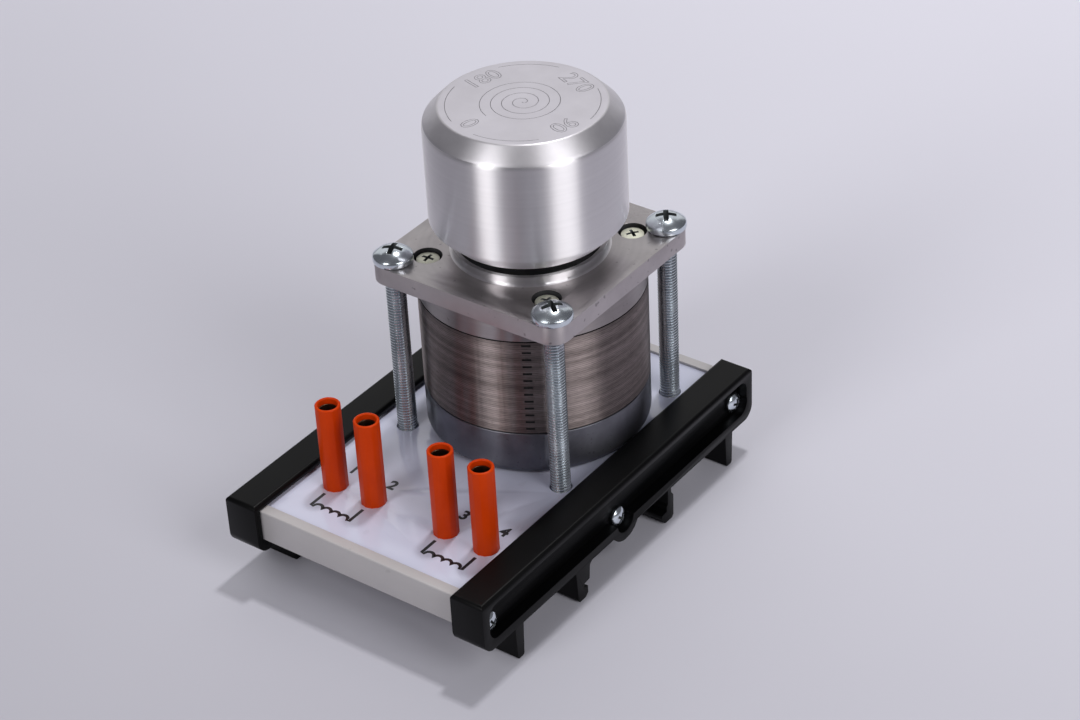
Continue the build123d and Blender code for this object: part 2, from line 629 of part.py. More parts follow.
def stator_laminations():
    """The stack of laminations, with a column of short marks on its outside."""
    stack = Pos(0, 0, STACK_BOTTOM) * extrude(stator_section(), amount=STACK_LENGTH)
    for number in range(MARK_COUNT):
        z = STACK_TOP - MARK_TOP_DROP - number * MARK_PITCH
        mark = Pos(BODY_RADIUS, 0, z) * Box(2 * MARK_DEPTH, MARK_LENGTH, MARK_HEIGHT)
        stack -= Rot(0, 0, MARK_ANGLE) * mark
    return MOTOR * stack


save(stator_laminations(), "stator_laminations")

COIL_LOW = SHOE_RADIUS + COIL_INSULATION
INSULATOR_RADIUS = CAVITY_RADIUS - INSULATOR_FIT
INSULATOR_INNER = INSULATOR_RADIUS - INSULATOR_WALL
COIL_HALF_WIDTH = POLE_WIDTH / 2 + COIL_INSULATION + COIL_THICKNESS
COIL_HIGH = math.sqrt(INSULATOR_INNER**2 - COIL_HALF_WIDTH**2) - COIL_INSULATION
COIL_HALF_HOLE = STACK_LENGTH / 2 + INSULATOR_THICKNESS + COIL_INSULATION
STACK_MIDDLE = STACK_BOTTOM + STACK_LENGTH / 2


def coil():
    """One pole's winding, as a rounded ring round the pole."""
    radial = (COIL_LOW, COIL_HIGH)
    inner = POLE_WIDTH / 2 + COIL_INSULATION
    outer = COIL_HALF_WIDTH
    body = block(radial, (-outer, outer), (-COIL_HALF_HOLE - COIL_HEAD, COIL_HALF_HOLE + COIL_HEAD))
    body = fillet(body.edges().filter_by(Axis.X), COIL_THICKNESS * 0.8)
    hole = block((COIL_LOW - CUT, COIL_HIGH + CUT), (-inner, inner), (-COIL_HALF_HOLE, COIL_HALF_HOLE))
    return Pos(0, 0, STACK_MIDDLE) * (body - hole)


winding = coil()
for number in range(POLE_COUNT):
    save(MOTOR * Rot(0, 0, number * POLE_PITCH) * winding, "coil_" + str(number + 1))


def insulator():
    """The slotted end insulator that lies flat on the stack, standing on height zero."""
    body = tube(INSULATOR_RADIUS, INSULATOR_INNER, 0, INSULATOR_WALL_HEIGHT)
    for number in range(POLE_COUNT):
        half = POLE_WIDTH / 2
        plate = block((SHOE_RADIUS, INSULATOR_INNER + INSULATOR_WALL / 2), (-half, half), (0, INSULATOR_THICKNESS))
        body += Rot(0, 0, number * POLE_PITCH) * plate
    return body


end_insulator = insulator()
save(MOTOR * Pos(0, 0, STACK_TOP) * end_insulator, "front_insulator")
save(MOTOR * Pos(0, 0, STACK_BOTTOM) * Rot(180, 0, 0) * end_insulator, "rear_insulator")

# --- Rotor ---
ROTOR_RADIUS = BORE_RADIUS - AIR_GAP
MAGNET_RADIUS = ROTOR_RADIUS - MAGNET_STEP
CUP_BOTTOM = STACK_MIDDLE - MAGNET_LENGTH / 2 - CUP_LENGTH
MAGNET_BOTTOM = CUP_BOTTOM + CUP_LENGTH
MAGNET_TOP = MAGNET_BOTTOM + MAGNET_LENGTH
SHAFT_END = FLANGE_TOP + SHAFT_PROJECTION
SHAFT_BORE = SHAFT_RADIUS + SHAFT_FIT


def rotor_cup():
    """A toothed soft-iron cup, standing on height zero."""
    section = Circle(ROTOR_RADIUS)
    gap_width = math.radians(TOOTH_PITCH / 2) * ROTOR_RADIUS
    gap = Pos(ROTOR_RADIUS - TOOTH_DEPTH / 2 + CUT / 2, 0) * Rectangle(TOOTH_DEPTH + CUT, gap_width)
    for number in range(ROTOR_TEETH):
        section -= Rot(0, 0, number * TOOTH_PITCH) * gap
    section -= Circle(SHAFT_BORE)
    return extrude(section, amount=CUP_LENGTH)


cup = rotor_cup()
save(MOTOR * Pos(0, 0, MAGNET_TOP) * cup, "rotor_cup_front")
save(MOTOR * Pos(0, 0, CUP_BOTTOM) * Rot(0, 0, TOOTH_PITCH / 2) * cup, "rotor_cup_rear")
save(MOTOR * tube(MAGNET_RADIUS, SHAFT_BORE, MAGNET_BOTTOM, MAGNET_TOP), "rotor_magnet")

shaft = cylinder(SHAFT_RADIUS, REAR_BEARING_BOTTOM, SHAFT_END)
shaft = chamfer(shaft.edges().filter_by(GeomType.CIRCLE), 0.4)
flat_low = SHAFT_RADIUS - SHAFT_FLAT_DEPTH
flat = block((flat_low, SHAFT_RADIUS + CUT), (-SHAFT_RADIUS, SHAFT_RADIUS), (KNOB_BOTTOM, SHAFT_END + CUT))
save(MOTOR * (shaft - Rot(0, 0, GRUB_ANGLE) * flat), "motor_shaft")


def dial_knob():
    """The turned knob, with a chamfer at each end, a shaft bore and a grub-screw hole."""
    knob = cylinder(KNOB_RADIUS, KNOB_BOTTOM, KNOB_TOP)
    ends = knob.edges().filter_by(GeomType.CIRCLE).sort_by(Axis.Z)
    knob = chamfer(ends[-1], KNOB_TOP_CHAMFER)
    ends = knob.edges().filter_by(GeomType.CIRCLE).sort_by(Axis.Z)
    knob = chamfer(ends[0], KNOB_BOTTOM_CHAMFER)
    knob -= cylinder(SHAFT_BORE, KNOB_BOTTOM - CUT, SHAFT_END + CUT)
    grub_hole = rod_x(GRUB_RADIUS + THREAD_CLEARANCE, 0, KNOB_RADIUS + CUT, 0, KNOB_BOTTOM + GRUB_HEIGHT)
    return MOTOR * (knob - Rot(0, 0, GRUB_ANGLE) * grub_hole)


save(dial_knob(), "dial_knob")

grub_end = flat_low + GRUB_LENGTH
grub = rod_x(GRUB_RADIUS, flat_low, grub_end, 0, KNOB_BOTTOM + GRUB_HEIGHT)
key = extrude(RegularPolygon(GRUB_KEY_RADIUS, 6), amount=GRUB_KEY_DEPTH + CUT)
grub -= Pos(grub_end - GRUB_KEY_DEPTH, 0, KNOB_BOTTOM + GRUB_HEIGHT) * Rot(0, 90, 0) * key
save(MOTOR * Rot(0, 0, GRUB_ANGLE) * grub, "knob_grub_screw")

# --- Bearings ---
BALL_CIRCLE = (BEARING_RADIUS + SHAFT_RADIUS) / 2
GROOVE_RADIUS = BALL_RADIUS + BALL_CLEARANCE
INNER_RING_OUTER = BALL_CIRCLE - RING_GAP_HALF
OUTER_RING_INNER = BALL_CIRCLE + RING_GAP_HALF
HALF_WIDTH = BEARING_WIDTH / 2


def bearing(side, bottom):
    """One shielded ball bearing: two rings, balls, a cage and two shields."""
    place = MOTOR * Pos(0, 0, bottom + HALF_WIDTH)
    groove = Torus(BALL_CIRCLE, GROOVE_RADIUS)
    outer = tube(BEARING_RADIUS, OUTER_RING_INNER, -HALF_WIDTH, HALF_WIDTH) - groove
    inner = tube(INNER_RING_OUTER, SHAFT_BORE, -HALF_WIDTH, HALF_WIDTH) - groove
    save(place * outer, side + "_bearing_outer")
    save(place * inner, side + "_bearing_inner")

    ball = Pos(BALL_CIRCLE, 0, 0) * Sphere(BALL_RADIUS)
    room = rod_x(BALL_RADIUS + CAGE_BALL_GAP, BALL_CIRCLE - CAGE_THICKNESS, BALL_CIRCLE + CAGE_THICKNESS, 0, 0)
    turns = [Rot(0, 0, number * 360 / BALL_COUNT) for number in range(BALL_COUNT)]
    save(place * group(turn * ball for turn in turns), side + "_bearing_balls")
    half = CAGE_THICKNESS / 2
    cage = tube(BALL_CIRCLE + half, BALL_CIRCLE - half, -CAGE_HEIGHT / 2, CAGE_HEIGHT / 2)
    for turn in turns:
        cage -= turn * room
    save(place * cage, side + "_bearing_cage")

    shield_outer = OUTER_RING_INNER - 0.02
    shield_inner = INNER_RING_OUTER + SHIELD_GAP
    top = HALF_WIDTH - SHIELD_INSET
    upper = tube(shield_outer, shield_inner, top - SHIELD_THICKNESS, top)
    lower = tube(shield_outer, shield_inner, -top, -top + SHIELD_THICKNESS)
    save(place * group([upper, lower]), side + "_bearing_shields")


bearing("front", FRONT_BEARING_BOTTOM)
bearing("rear", REAR_BEARING_BOTTOM)

preload_ring = tube(BEARING_RADIUS - 0.1, BEARING_RADIUS - 0.1 - SPRING_WIDTH, REAR_SEAT_FLOOR, REAR_BEARING_BOTTOM)
save(MOTOR * preload_ring, "preload_washer")

# --- Leads ---
grommet_top = PLATE_TOP + REAR_FLOOR + GROMMET_FLANGE
grommet = lead_slot(LEAD_RADIUS - 0.05, PLATE_TOP + 0.05, grommet_top)
grommet += lead_slot(LEAD_RADIUS + GROMMET_WALL, PLATE_TOP + REAR_FLOOR, grommet_top)
grommet -= lead_slot(0.1, PLATE_TOP - CUT, grommet_top + CUT)
save(grommet, "lead_grommet")

LEAD_Z = WEB_TOP + LEAD_FLOOR_GAP + LEAD_RADIUS
LEAD_START_Z = STACK_MIDDLE - COIL_HALF_HOLE - COIL_HEAD
EXIT_Y = AXIS_Y - LEAD_EXIT_RADIUS


def lead(number):
    """One insulated lead, from the rear bell through the plate to its terminal's tail."""
    exit_x = AXIS_X + (number - 1.5) * LEAD_PITCH
    end_x = TERMINAL_X[number]
    end_y = TERMINAL_Y + TAIL_RADIUS + 0.05
    points = [
        (exit_x, EXIT_Y, LEAD_START_Z),
        (exit_x, EXIT_Y, LEAD_Z),
        (exit_x, EXIT_Y - LEAD_FIRST_RUN, LEAD_Z),
        (end_x, end_y + LEAD_LAST_RUN, LEAD_Z),
        (end_x, end_y, LEAD_Z),
    ]
    radii = [LEAD_BEND_RADIUS, LEAD_TURN_RADIUS, LEAD_TURN_RADIUS]
    path = FilletPolyline(*points, radius=radii)
    section = Plane(origin=points[0], z_dir=(0, 0, -1)) * Circle(LEAD_RADIUS)
    return sweep(section, path=path)


for number in range(4):
    save(lead(number), "lead_" + str(number + 1))
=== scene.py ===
"""A small stepping motor on a rail carrier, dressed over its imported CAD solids."""

import math

import bmesh
import bpy
from mathutils import Matrix, Vector


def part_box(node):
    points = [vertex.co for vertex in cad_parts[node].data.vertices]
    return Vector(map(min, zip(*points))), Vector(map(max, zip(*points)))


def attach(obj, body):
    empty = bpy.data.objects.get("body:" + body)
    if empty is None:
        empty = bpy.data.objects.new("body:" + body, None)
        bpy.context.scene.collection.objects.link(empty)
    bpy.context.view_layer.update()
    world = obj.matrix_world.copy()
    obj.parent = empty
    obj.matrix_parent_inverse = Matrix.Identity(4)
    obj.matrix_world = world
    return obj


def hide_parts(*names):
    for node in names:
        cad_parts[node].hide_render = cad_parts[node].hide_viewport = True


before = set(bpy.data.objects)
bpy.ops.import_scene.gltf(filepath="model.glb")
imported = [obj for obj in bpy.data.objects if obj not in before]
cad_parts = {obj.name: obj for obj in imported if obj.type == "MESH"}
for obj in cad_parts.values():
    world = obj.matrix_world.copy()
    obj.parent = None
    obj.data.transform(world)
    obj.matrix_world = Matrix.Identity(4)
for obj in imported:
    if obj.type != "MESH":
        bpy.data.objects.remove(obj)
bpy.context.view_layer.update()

MM = 0.001

# --- Where things are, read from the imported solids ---
BOSS_HEIGHT = 2.3 * MM
FLANGE_THICKNESS = 4.7 * MM


def centre(name):
    """The middle of a CAD node's box."""
    low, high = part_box(name)
    return (low + high) / 2


KNOB_LOW, KNOB_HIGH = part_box("dial_knob")
KNOB_RADIUS = (KNOB_HIGH.x - KNOB_LOW.x) / 2
AXIS = centre("motor_shaft")
AXIS.z = 0.0
BOSS_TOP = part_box("front_flange")[1].z
FLANGE_TOP = BOSS_TOP - BOSS_HEIGHT
FLANGE_UNDERSIDE = FLANGE_TOP - FLANGE_THICKNESS
PLATE_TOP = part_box("terminal_plate")[1].z


# --- Shader building ---
VECTOR = "NodeSocketVector"
FLOAT = "NodeSocketFloat"
GEOMETRY = "NodeSocketGeometry"


def feed(tree, socket, value):
    """Give a socket a plain value or another node's output."""
    if isinstance(value, bpy.types.NodeSocket):
        tree.links.new(value, socket)
    else:
        socket.default_value = value


def wired(tree, kind, inputs, **settings):
    """A new node's outputs. Its inputs are fed by name or number, after its settings."""
    made = tree.nodes.new(kind)
    for name, value in settings.items():
        setattr(made, name, value)
    for name, value in inputs.items():
        feed(tree, made.inputs[name], value)
    return made.outputs


def calc(tree, operation, *values):
    """One Math node."""
    return wired(tree, "ShaderNodeMath", dict(enumerate(values)), operation=operation)[0]


def spread(tree, value, low, high, to_low=0.0, to_high=1.0):
    """Stretch a band of values onto another, clamped."""
    inputs = dict(enumerate((value, low, high, to_low, to_high)))
    return wired(tree, "ShaderNodeMapRange", inputs)[0]


def noise(tree, vector, scale, detail, roughness):
    """Cloudy noise between 0 and 1."""
    inputs = {"Vector": vector, "Scale": scale, "Detail": detail, "Roughness": roughness}
    return wired(tree, "ShaderNodeTexNoise", inputs)["Fac"]


def line_noise(tree, along, scale, detail):
    """Noise along one direction, between 0 and 1."""
    inputs = {"W": along, "Scale": scale, "Detail": detail}
    return wired(tree, "ShaderNodeTexNoise", inputs, noise_dimensions="1D")["Fac"]


def mixed(tree, factor, first, second, blend="MIX"):
    """Two colours mixed by a factor."""
    inputs = {"Factor": factor, 6: first, 7: second}
    return wired(tree, "ShaderNodeMix", inputs, data_type="RGBA", blend_type=blend)[2]


def split(tree, vector):
    """A vector's X, Y and Z."""
    return wired(tree, "ShaderNodeSeparateXYZ", {0: vector})


def flat_vector(tree, x, y):
    """A vector from its X and Y."""
    return wired(tree, "ShaderNodeCombineXYZ", {0: x, 1: y})[0]


def bumped(tree, height, distance, under=None):
    """A bump of a real depth, laid over another one's normal."""
    inputs = {"Strength": 1.0, "Distance": distance, "Height": height}
    if under is not None:
        inputs["Normal"] = under
    return wired(tree, "ShaderNodeBump", inputs)[0]


def new_group(name, inputs, outputs, kind="ShaderNodeTree", output_type=FLOAT):
    """A node group with named sockets; its inputs are given as (name, type, default)."""
    tree = bpy.data.node_groups.new(name, kind)
    for label, input_type, value in inputs:
        socket = tree.interface.new_socket(label, in_out="INPUT", socket_type=input_type)
        if value is not None:
            socket.default_value = value
    for label in outputs:
        tree.interface.new_socket(label, in_out="OUTPUT", socket_type=output_type)
    given = tree.nodes.new("NodeGroupInput").outputs
    result = tree.nodes.new("NodeGroupOutput").inputs
    return tree, given, result


# Noise bands: (where black starts, where white ends)
SPECK_BAND = (0.71, 0.76)
SMEAR_BAND = (0.35, 0.65)
RING_BAND = (0.3, 0.7)
SPECK_FINENESS = 9.0  # against the patches
SMEAR_FINENESS = 0.35


def patina_group():
    """Uneven tone and small dark specks, as handled or cast surfaces have."""
    tree, given, result = new_group(
        "Patina",
        [("Vector", VECTOR, None), ("Scale", FLOAT, 120.0), ("Contrast", FLOAT, 0.5)],
        ["Tone", "Specks", "Smear"],
    )
    vector = given["Vector"]
    broad = noise(tree, vector, given["Scale"], 4.0, 0.6)
    half = calc(tree, "MULTIPLY", given["Contrast"], 0.25)
    low = calc(tree, "SUBTRACT", 0.5, half)
    high = calc(tree, "ADD", 0.5, half)
    feed(tree, result["Tone"], spread(tree, broad, low, high))
    fine = noise(tree, vector, calc(tree, "MULTIPLY", given["Scale"], SPECK_FINENESS), 1.0, 0.4)
    feed(tree, result["Specks"], spread(tree, fine, *SPECK_BAND))
    smear = noise(tree, vector, calc(tree, "MULTIPLY", given["Scale"], SMEAR_FINENESS), 2.0, 0.5)
    feed(tree, result["Smear"], spread(tree, smear, *SMEAR_BAND))
    return tree


DRIFT_SCALE = 60.0
BROAD_RING_SCALE = 0.12  # against the fine rings


def turned_group():
    """Fine rings left by a lathe or a grinder round an upright axis."""
    tree, given, result = new_group(
        "Turned rings",
        [("Vector", VECTOR, None), ("Rings per metre", FLOAT, 4000.0), ("Waver", FLOAT, 0.1)],
        ["Height", "Tone"],
    )
    x, y, z = split(tree, given["Vector"])
    squares = calc(tree, "ADD", calc(tree, "POWER", x, 2.0), calc(tree, "POWER", y, 2.0))
    travel = calc(tree, "ADD", calc(tree, "SQRT", squares), z)
    drift = noise(tree, given["Vector"], DRIFT_SCALE, 1.0, 0.5)
    along = calc(tree, "MULTIPLY", travel, given["Rings per metre"])
    along = calc(tree, "ADD", along, calc(tree, "MULTIPLY", drift, given["Waver"]))
    feed(tree, result["Height"], line_noise(tree, along, 1.0, 2.0))
    feed(tree, result["Tone"], spread(tree, line_noise(tree, along, BROAD_RING_SCALE, 3.0), *RING_BAND))
    return tree


def grain_group():
    """A moulded or cast grain."""
    tree, given, result = new_group(
        "Grain",
        [("Vector", VECTOR, None), ("Grains per metre", FLOAT, 3000.0)],
        ["Height"],
    )
    feed(tree, result["Height"], noise(tree, given["Vector"], given["Grains per metre"], 2.0, 0.5))
    return tree


DASHES_PER_METRE = 420.0  # round the stack
STREAKS_PER_METRE = 3600.0  # up the stack
SHEET_OFFSET = 3.7  # how far apart in the noise two neighbouring sheets are
GAP_BAND = (0.3, 0.46)  # in sheets, from a sheet's middle to its edge
BROKEN_BAND = (0.34, 0.52, 0.25, 1.0)


def laminated_group():
    """The edges of stacked sheets on a ground round: broken dark lines, fine streaks and broad bands."""
    tree, given, result = new_group(
        "Laminated edge",
        [
            ("Vector", VECTOR, None),
            ("Sheets per metre", FLOAT, 2000.0),
            ("Bands per metre", FLOAT, 480.0),
            ("Radius", FLOAT, 0.028),
        ],
        ["Line", "Band", "Streak"],
    )
    x, y, z = split(tree, given["Vector"])
    along = calc(tree, "MULTIPLY", calc(tree, "ARCTAN2", y, x), given["Radius"])
    dashes = calc(tree, "MULTIPLY", along, DASHES_PER_METRE)
    sheet = calc(tree, "MULTIPLY", z, given["Sheets per metre"])
    edge = calc(tree, "ABSOLUTE", calc(tree, "SUBTRACT", calc(tree, "FRACT", sheet), 0.5))
    row = calc(tree, "MULTIPLY", calc(tree, "ROUND", sheet), SHEET_OFFSET)
    broken = spread(tree, noise(tree, flat_vector(tree, dashes, row), 1.0, 1.0, 0.5), *BROKEN_BAND)
    feed(tree, result["Line"], calc(tree, "MULTIPLY", spread(tree, edge, *GAP_BAND), broken))
    bands = calc(tree, "MULTIPLY", z, given["Bands per metre"])
    feed(tree, result["Band"], spread(tree, line_noise(tree, bands, 1.0, 1.0), *SMEAR_BAND))
    drawn = flat_vector(tree, dashes, calc(tree, "MULTIPLY", z, STREAKS_PER_METRE))
    feed(tree, result["Streak"], noise(tree, drawn, 1.0, 2.0, 0.6))
    return tree


PATINA = patina_group()
TURNED = turned_group()
GRAIN = grain_group()
LAMINATED = laminated_group()


def use(tree, group, **values):
    """Place a node group with its values; underscores stand for spaces."""
    inputs = {name.replace("_", " "): value for name, value in values.items()}
    return wired(tree, "ShaderNodeGroup", inputs, node_tree=group)


def axis_vector(tree):
    """Object coordinates measured from the motor's axis."""
    place = wired(tree, "ShaderNodeTexCoord", {})["Object"]
    return wired(tree, "ShaderNodeMapping", {"Vector": place, "Location": -AXIS})["Vector"]


def dimmed(colour, share):
    """A colour's share as a full RGBA value, no brighter than white."""
    return tuple(min(share * part, 1.0) for part in colour) + (1.0,)


SPECK_COLOUR = (0.02, 0.02, 0.02, 1.0)
RING_SHADE = 0.45  # of the finish's own colour
SHEET_SHADE = 0.12
BAND_SHADE = 1.5
BAND_SHARE = 0.6
STREAK_BAND = (0.5, 0.7)
STREAK_SHARE = 0.35
COAT_ROUGHNESS = 0.12


def finish(
    name,
    colour,
    other,
    roughness,
    metallic=0.0,
    patch=90.0,
    contrast=1.0,
    rings=0.0,
    waver=0.1,
    ring_depth=0.0,
    ring_tone=0.0,
    sheets=0.0,
    sheet_tone=0.0,
    streak_depth=0.0,
    grain=0.0,
    grain_depth=0.0,
    specks=0.0,
    rough_spread=0.06,
    coat=0.0,
    anisotropy=0.0,
    turn=0.0,
    specular=0.5,
):
    """A procedural material: uneven tone, lathe rings, sheet edges or grain, specks and varying gloss."""
    material = bpy.data.materials.new(name)
    material.use_nodes = True
    tree = material.node_tree
    shader = tree.nodes["Principled BSDF"]
    vector = axis_vector(tree)
    patina = use(tree, PATINA, Vector=vector, Scale=patch, Contrast=contrast)
    tone = mixed(tree, patina["Tone"], (*colour, 1.0), (*other, 1.0))
    rough = spread(tree, patina["Smear"], 0.0, 1.0, roughness - rough_spread, roughness + rough_spread)
    bump = None
    if rings:
        turned = use(tree, TURNED, Vector=vector, Rings_per_metre=rings, Waver=waver)
        if ring_tone:
            shade = calc(tree, "MULTIPLY", turned["Tone"], ring_tone)
            tone = mixed(tree, shade, tone, dimmed(colour, RING_SHADE))
        bump = bumped(tree, turned["Height"], ring_depth)
    if sheets:
        pile = use(tree, LAMINATED, Vector=vector, Sheets_per_metre=sheets)
        dark = dimmed(colour, SHEET_SHADE)
        tone = mixed(tree, calc(tree, "MULTIPLY", pile["Band"], BAND_SHARE), tone, dimmed(colour, BAND_SHADE))
        tone = mixed(tree, calc(tree, "MULTIPLY", pile["Line"], sheet_tone), tone, dark)
        streaks = spread(tree, pile["Streak"], *STREAK_BAND)
        tone = mixed(tree, calc(tree, "MULTIPLY", streaks, STREAK_SHARE), tone, dark)
        bump = bumped(tree, pile["Streak"], streak_depth, bump)
    if grain:
        grained = use(tree, GRAIN, Vector=vector, Grains_per_metre=grain)
        bump = bumped(tree, grained["Height"], grain_depth, bump)
    if specks:
        tone = mixed(tree, calc(tree, "MULTIPLY", patina["Specks"], specks), tone, SPECK_COLOUR)
    feed(tree, shader.inputs["Base Color"], tone)
    feed(tree, shader.inputs["Roughness"], rough)
    if bump is not None:
        feed(tree, shader.inputs["Normal"], bump)
    shader.inputs["Metallic"].default_value = metallic
    shader.inputs["Coat Weight"].default_value = coat
    shader.inputs["Coat Roughness"].default_value = COAT_ROUGHNESS
    shader.inputs["Anisotropic"].default_value = anisotropy
    shader.inputs["Anisotropic Rotation"].default_value = turn
    shader.inputs["Specular IOR Level"].default_value = specular
    return material


# --- Finishes that show ---
# After the name: two colours that the surface wanders between, roughness and metallic.
# Rings, sheets and grain are counts per metre; a quarter turn lays the shine along the lathe's cut.
QUARTER = 0.25

KNOB_SIDE = finish(
    "Turned aluminium", (0.97, 0.945, 0.965), (0.90, 0.875, 0.895), 0.40, 1.0,
    patch=60, rings=9000, waver=0.4, ring_depth=0.0006 * MM, ring_tone=0.06,
    rough_spread=0.02, anisotropy=1.0, turn=QUARTER,
)
KNOB_SHOULDER = finish(
    "Blasted shoulder", (0.80, 0.78, 0.81), (0.54, 0.52, 0.55), 0.46, 1.0,
    patch=85, contrast=1.5, grain=5000, grain_depth=0.002 * MM, anisotropy=0.5, turn=QUARTER,
)
KNOB_TOP = finish(
    "Blasted aluminium", (0.66, 0.64, 0.685), (0.60, 0.58, 0.62), 0.6, 1.0,
    patch=110, grain=5000, grain_depth=0.003 * MM,
)
ENGRAVED = finish("Engraved line", (0.20, 0.19, 0.21), (0.34, 0.33, 0.35), 0.6, 0.6, patch=700)
FLANGE_FACE = finish(
    "Machined alloy", (0.49, 0.46, 0.465), (0.36, 0.335, 0.34), 0.31, 0.9,
    patch=70, rings=6000, waver=1.0, ring_depth=0.0008 * MM, ring_tone=0.12,
    grain=2600, grain_depth=0.003 * MM, specks=0.35, anisotropy=0.3, turn=QUARTER,
)
BOSS_BRIGHT = finish(
    "Bright turned alloy", (0.80, 0.78, 0.80), (0.70, 0.68, 0.70), 0.38, 1.0,
    patch=80, rings=9000, waver=0.5, ring_depth=0.0008 * MM, ring_tone=0.1,
    anisotropy=1.0, turn=QUARTER,
)
STACK = finish(
    "Ground laminations", (0.28, 0.235, 0.23), (0.16, 0.13, 0.125), 0.46, 1.0,
    patch=90, contrast=1.3, sheets=1900, sheet_tone=0.5, streak_depth=0.004 * MM,
    specks=0.15, rough_spread=0.03, anisotropy=1.0, turn=QUARTER,
)
FLANGE_EDGE = finish(
    "Milled edge", (0.57, 0.525, 0.535), (0.42, 0.385, 0.395), 0.44, 1.0,
    patch=80, contrast=1.2, grain=2600, grain_depth=0.004 * MM, specks=0.4,
    anisotropy=0.7, turn=QUARTER,
)
SKIRT = finish(
    "Turned skirt", (0.38, 0.345, 0.35), (0.29, 0.26, 0.265), 0.36, 1.0,
    patch=90, rings=6000, waver=0.6, ring_depth=0.0008 * MM, ring_tone=0.15,
    specks=0.3, anisotropy=0.95, turn=QUARTER,
)
BELL = finish(
    "Cast alloy", (0.22, 0.22, 0.25), (0.08, 0.08, 0.095), 0.38, 1.0,
    patch=95, contrast=1.5, grain=2200, grain_depth=0.005 * MM, specks=0.3,
    rings=3000, ring_depth=0.001 * MM, anisotropy=0.5, turn=QUARTER,
)
# Painted shade: hollows and faces under the knob are coloured as dark as their shadow.
PAINTED_SHADE_RECESS = finish("Painted shade in recesses", (0.02, 0.02, 0.022), (0.035, 0.035, 0.04), 0.6, 0.2, patch=200)
SEAM = finish("Dark seam", (0.02, 0.017, 0.017), (0.035, 0.03, 0.03), 0.5, 0.3, patch=500)
MARK_BLACK = finish("Black mark", (0.008, 0.008, 0.009), (0.015, 0.015, 0.016), 0.5, patch=300)
ZINC = finish(
    "Zinc plate", (0.72, 0.77, 0.82), (0.56, 0.62, 0.67), 0.22, 1.0,
    patch=260, contrast=1.2, grain=4000, grain_depth=0.0015 * MM,
)
# Painted shade: the cross recesses are coloured near black, as dark as their shadow, not as zinc.
CROSS_PAINTED_SHADE = finish(
    "Cross recess painted shade", (0.02, 0.022, 0.024), (0.07, 0.08, 0.085), 0.45, 0.6, patch=700, contrast=1.3
)
YELLOW_ZINC = finish(
    "Passivated zinc", (0.80, 0.80, 0.68), (0.66, 0.66, 0.54), 0.5, 0.7,
    patch=400, grain=4000, grain_depth=0.002 * MM, specks=0.3,
)
BLACK_MOULDING = finish(
    "Black moulding", (0.0011, 0.0011, 0.0013), (0.0022, 0.0022, 0.0025), 0.36,
    patch=55, contrast=0.9, grain=2400, grain_depth=0.004 * MM, rough_spread=0.07, specular=0.12,
)
GREY_EXTRUSION = finish(
    "Grey extrusion", (0.53, 0.505, 0.51), (0.48, 0.46, 0.465), 0.42,
    patch=40, grain=1600, grain_depth=0.003 * MM, specks=0.12,
)
WHITE_PLATE = finish(
    "White plate", (0.62, 0.635, 0.78), (0.59, 0.605, 0.75), 0.13,
    patch=30, coat=0.5, grain=500, grain_depth=0.002 * MM, rough_spread=0.04, specks=0.05,
)
PRINT = finish("Printed ink", (0.012, 0.012, 0.014), (0.02, 0.02, 0.024), 0.35, patch=300)
ORANGE = finish(
    "Orange moulding", (0.66, 0.052, 0.001), (0.56, 0.040, 0.001), 0.38,
    patch=90, grain=1800, grain_depth=0.003 * MM, specular=0.1,
)
# Painted shade: the contacts sit deep in the sleeves, so their plating is coloured as dark as its shadow
# there.
NICKEL_IN_PAINTED_SHADE = finish(
    "Plated contact in painted shade", (0.11, 0.07, 0.045), (0.06, 0.035, 0.02), 0.42, 1.0, patch=500, specks=0.2
)

# --- Finishes of the hidden pieces ---
SHAFT_STEEL = finish(
    "Ground shaft", (0.55, 0.54, 0.55), (0.46, 0.45, 0.46), 0.25, 1.0,
    patch=200, rings=9000, ring_depth=0.002 * MM, ring_tone=0.1, anisotropy=0.6,
)
CORE_STEEL = finish(
    "Core steel", (0.38, 0.37, 0.37), (0.30, 0.29, 0.29), 0.38, 1.0,
    patch=250, rings=2000, ring_depth=0.01 * MM, ring_tone=0.3,
)
MAGNET = finish(
    "Magnet", (0.07, 0.07, 0.075), (0.05, 0.05, 0.055), 0.5, 0.4,
    patch=400, grain=3000, grain_depth=0.01 * MM,
)
BEARING_STEEL = finish(
    "Bearing steel", (0.66, 0.66, 0.68), (0.56, 0.56, 0.58), 0.16, 1.0,
    patch=400, rings=9000, ring_depth=0.001 * MM,
)
CAGE_BRASS = finish("Cage brass", (0.62, 0.44, 0.16), (0.50, 0.34, 0.11), 0.35, 1.0, patch=500)
WIRE = finish(
    "Enamelled wire", (0.55, 0.17, 0.05), (0.42, 0.11, 0.03), 0.3, 0.7,
    patch=300, rings=3300, waver=0.05, ring_depth=0.03 * MM, ring_tone=0.4,
)
INSULATION = finish(
    "Insulator", (0.66, 0.62, 0.50), (0.58, 0.54, 0.43), 0.5,
    patch=200, grain=2500, grain_depth=0.008 * MM,
)
BLACK_STEEL = finish("Blackened steel", (0.035, 0.035, 0.04), (0.06, 0.06, 0.065), 0.4, 0.8, patch=500)
RUBBER = finish(
    "Black rubber", (0.02, 0.02, 0.02), (0.03, 0.03, 0.03), 0.7,
    patch=300, grain=3000, grain_depth=0.01 * MM,
)
LEAD_SHADES = (
    ("red", (0.42, 0.02, 0.015)),
    ("yellow", (0.60, 0.38, 0.03)),
    ("blue", (0.02, 0.07, 0.32)),
    ("green", (0.02, 0.22, 0.06)),
)
LEAD_FINISHES = [
    finish(
        "Lead " + word, shade, tuple(0.75 * part for part in shade), 0.45,
        patch=250, grain=2500, grain_depth=0.004 * MM,
    )
    for word, shade in LEAD_SHADES
]


# --- Mesh building ---
MERGE_DISTANCE = 0.002 * MM
FLAT_ANGLE = 0.3  # degrees between two triangles of one flat face
SMOOTH_ANGLE = 32.0


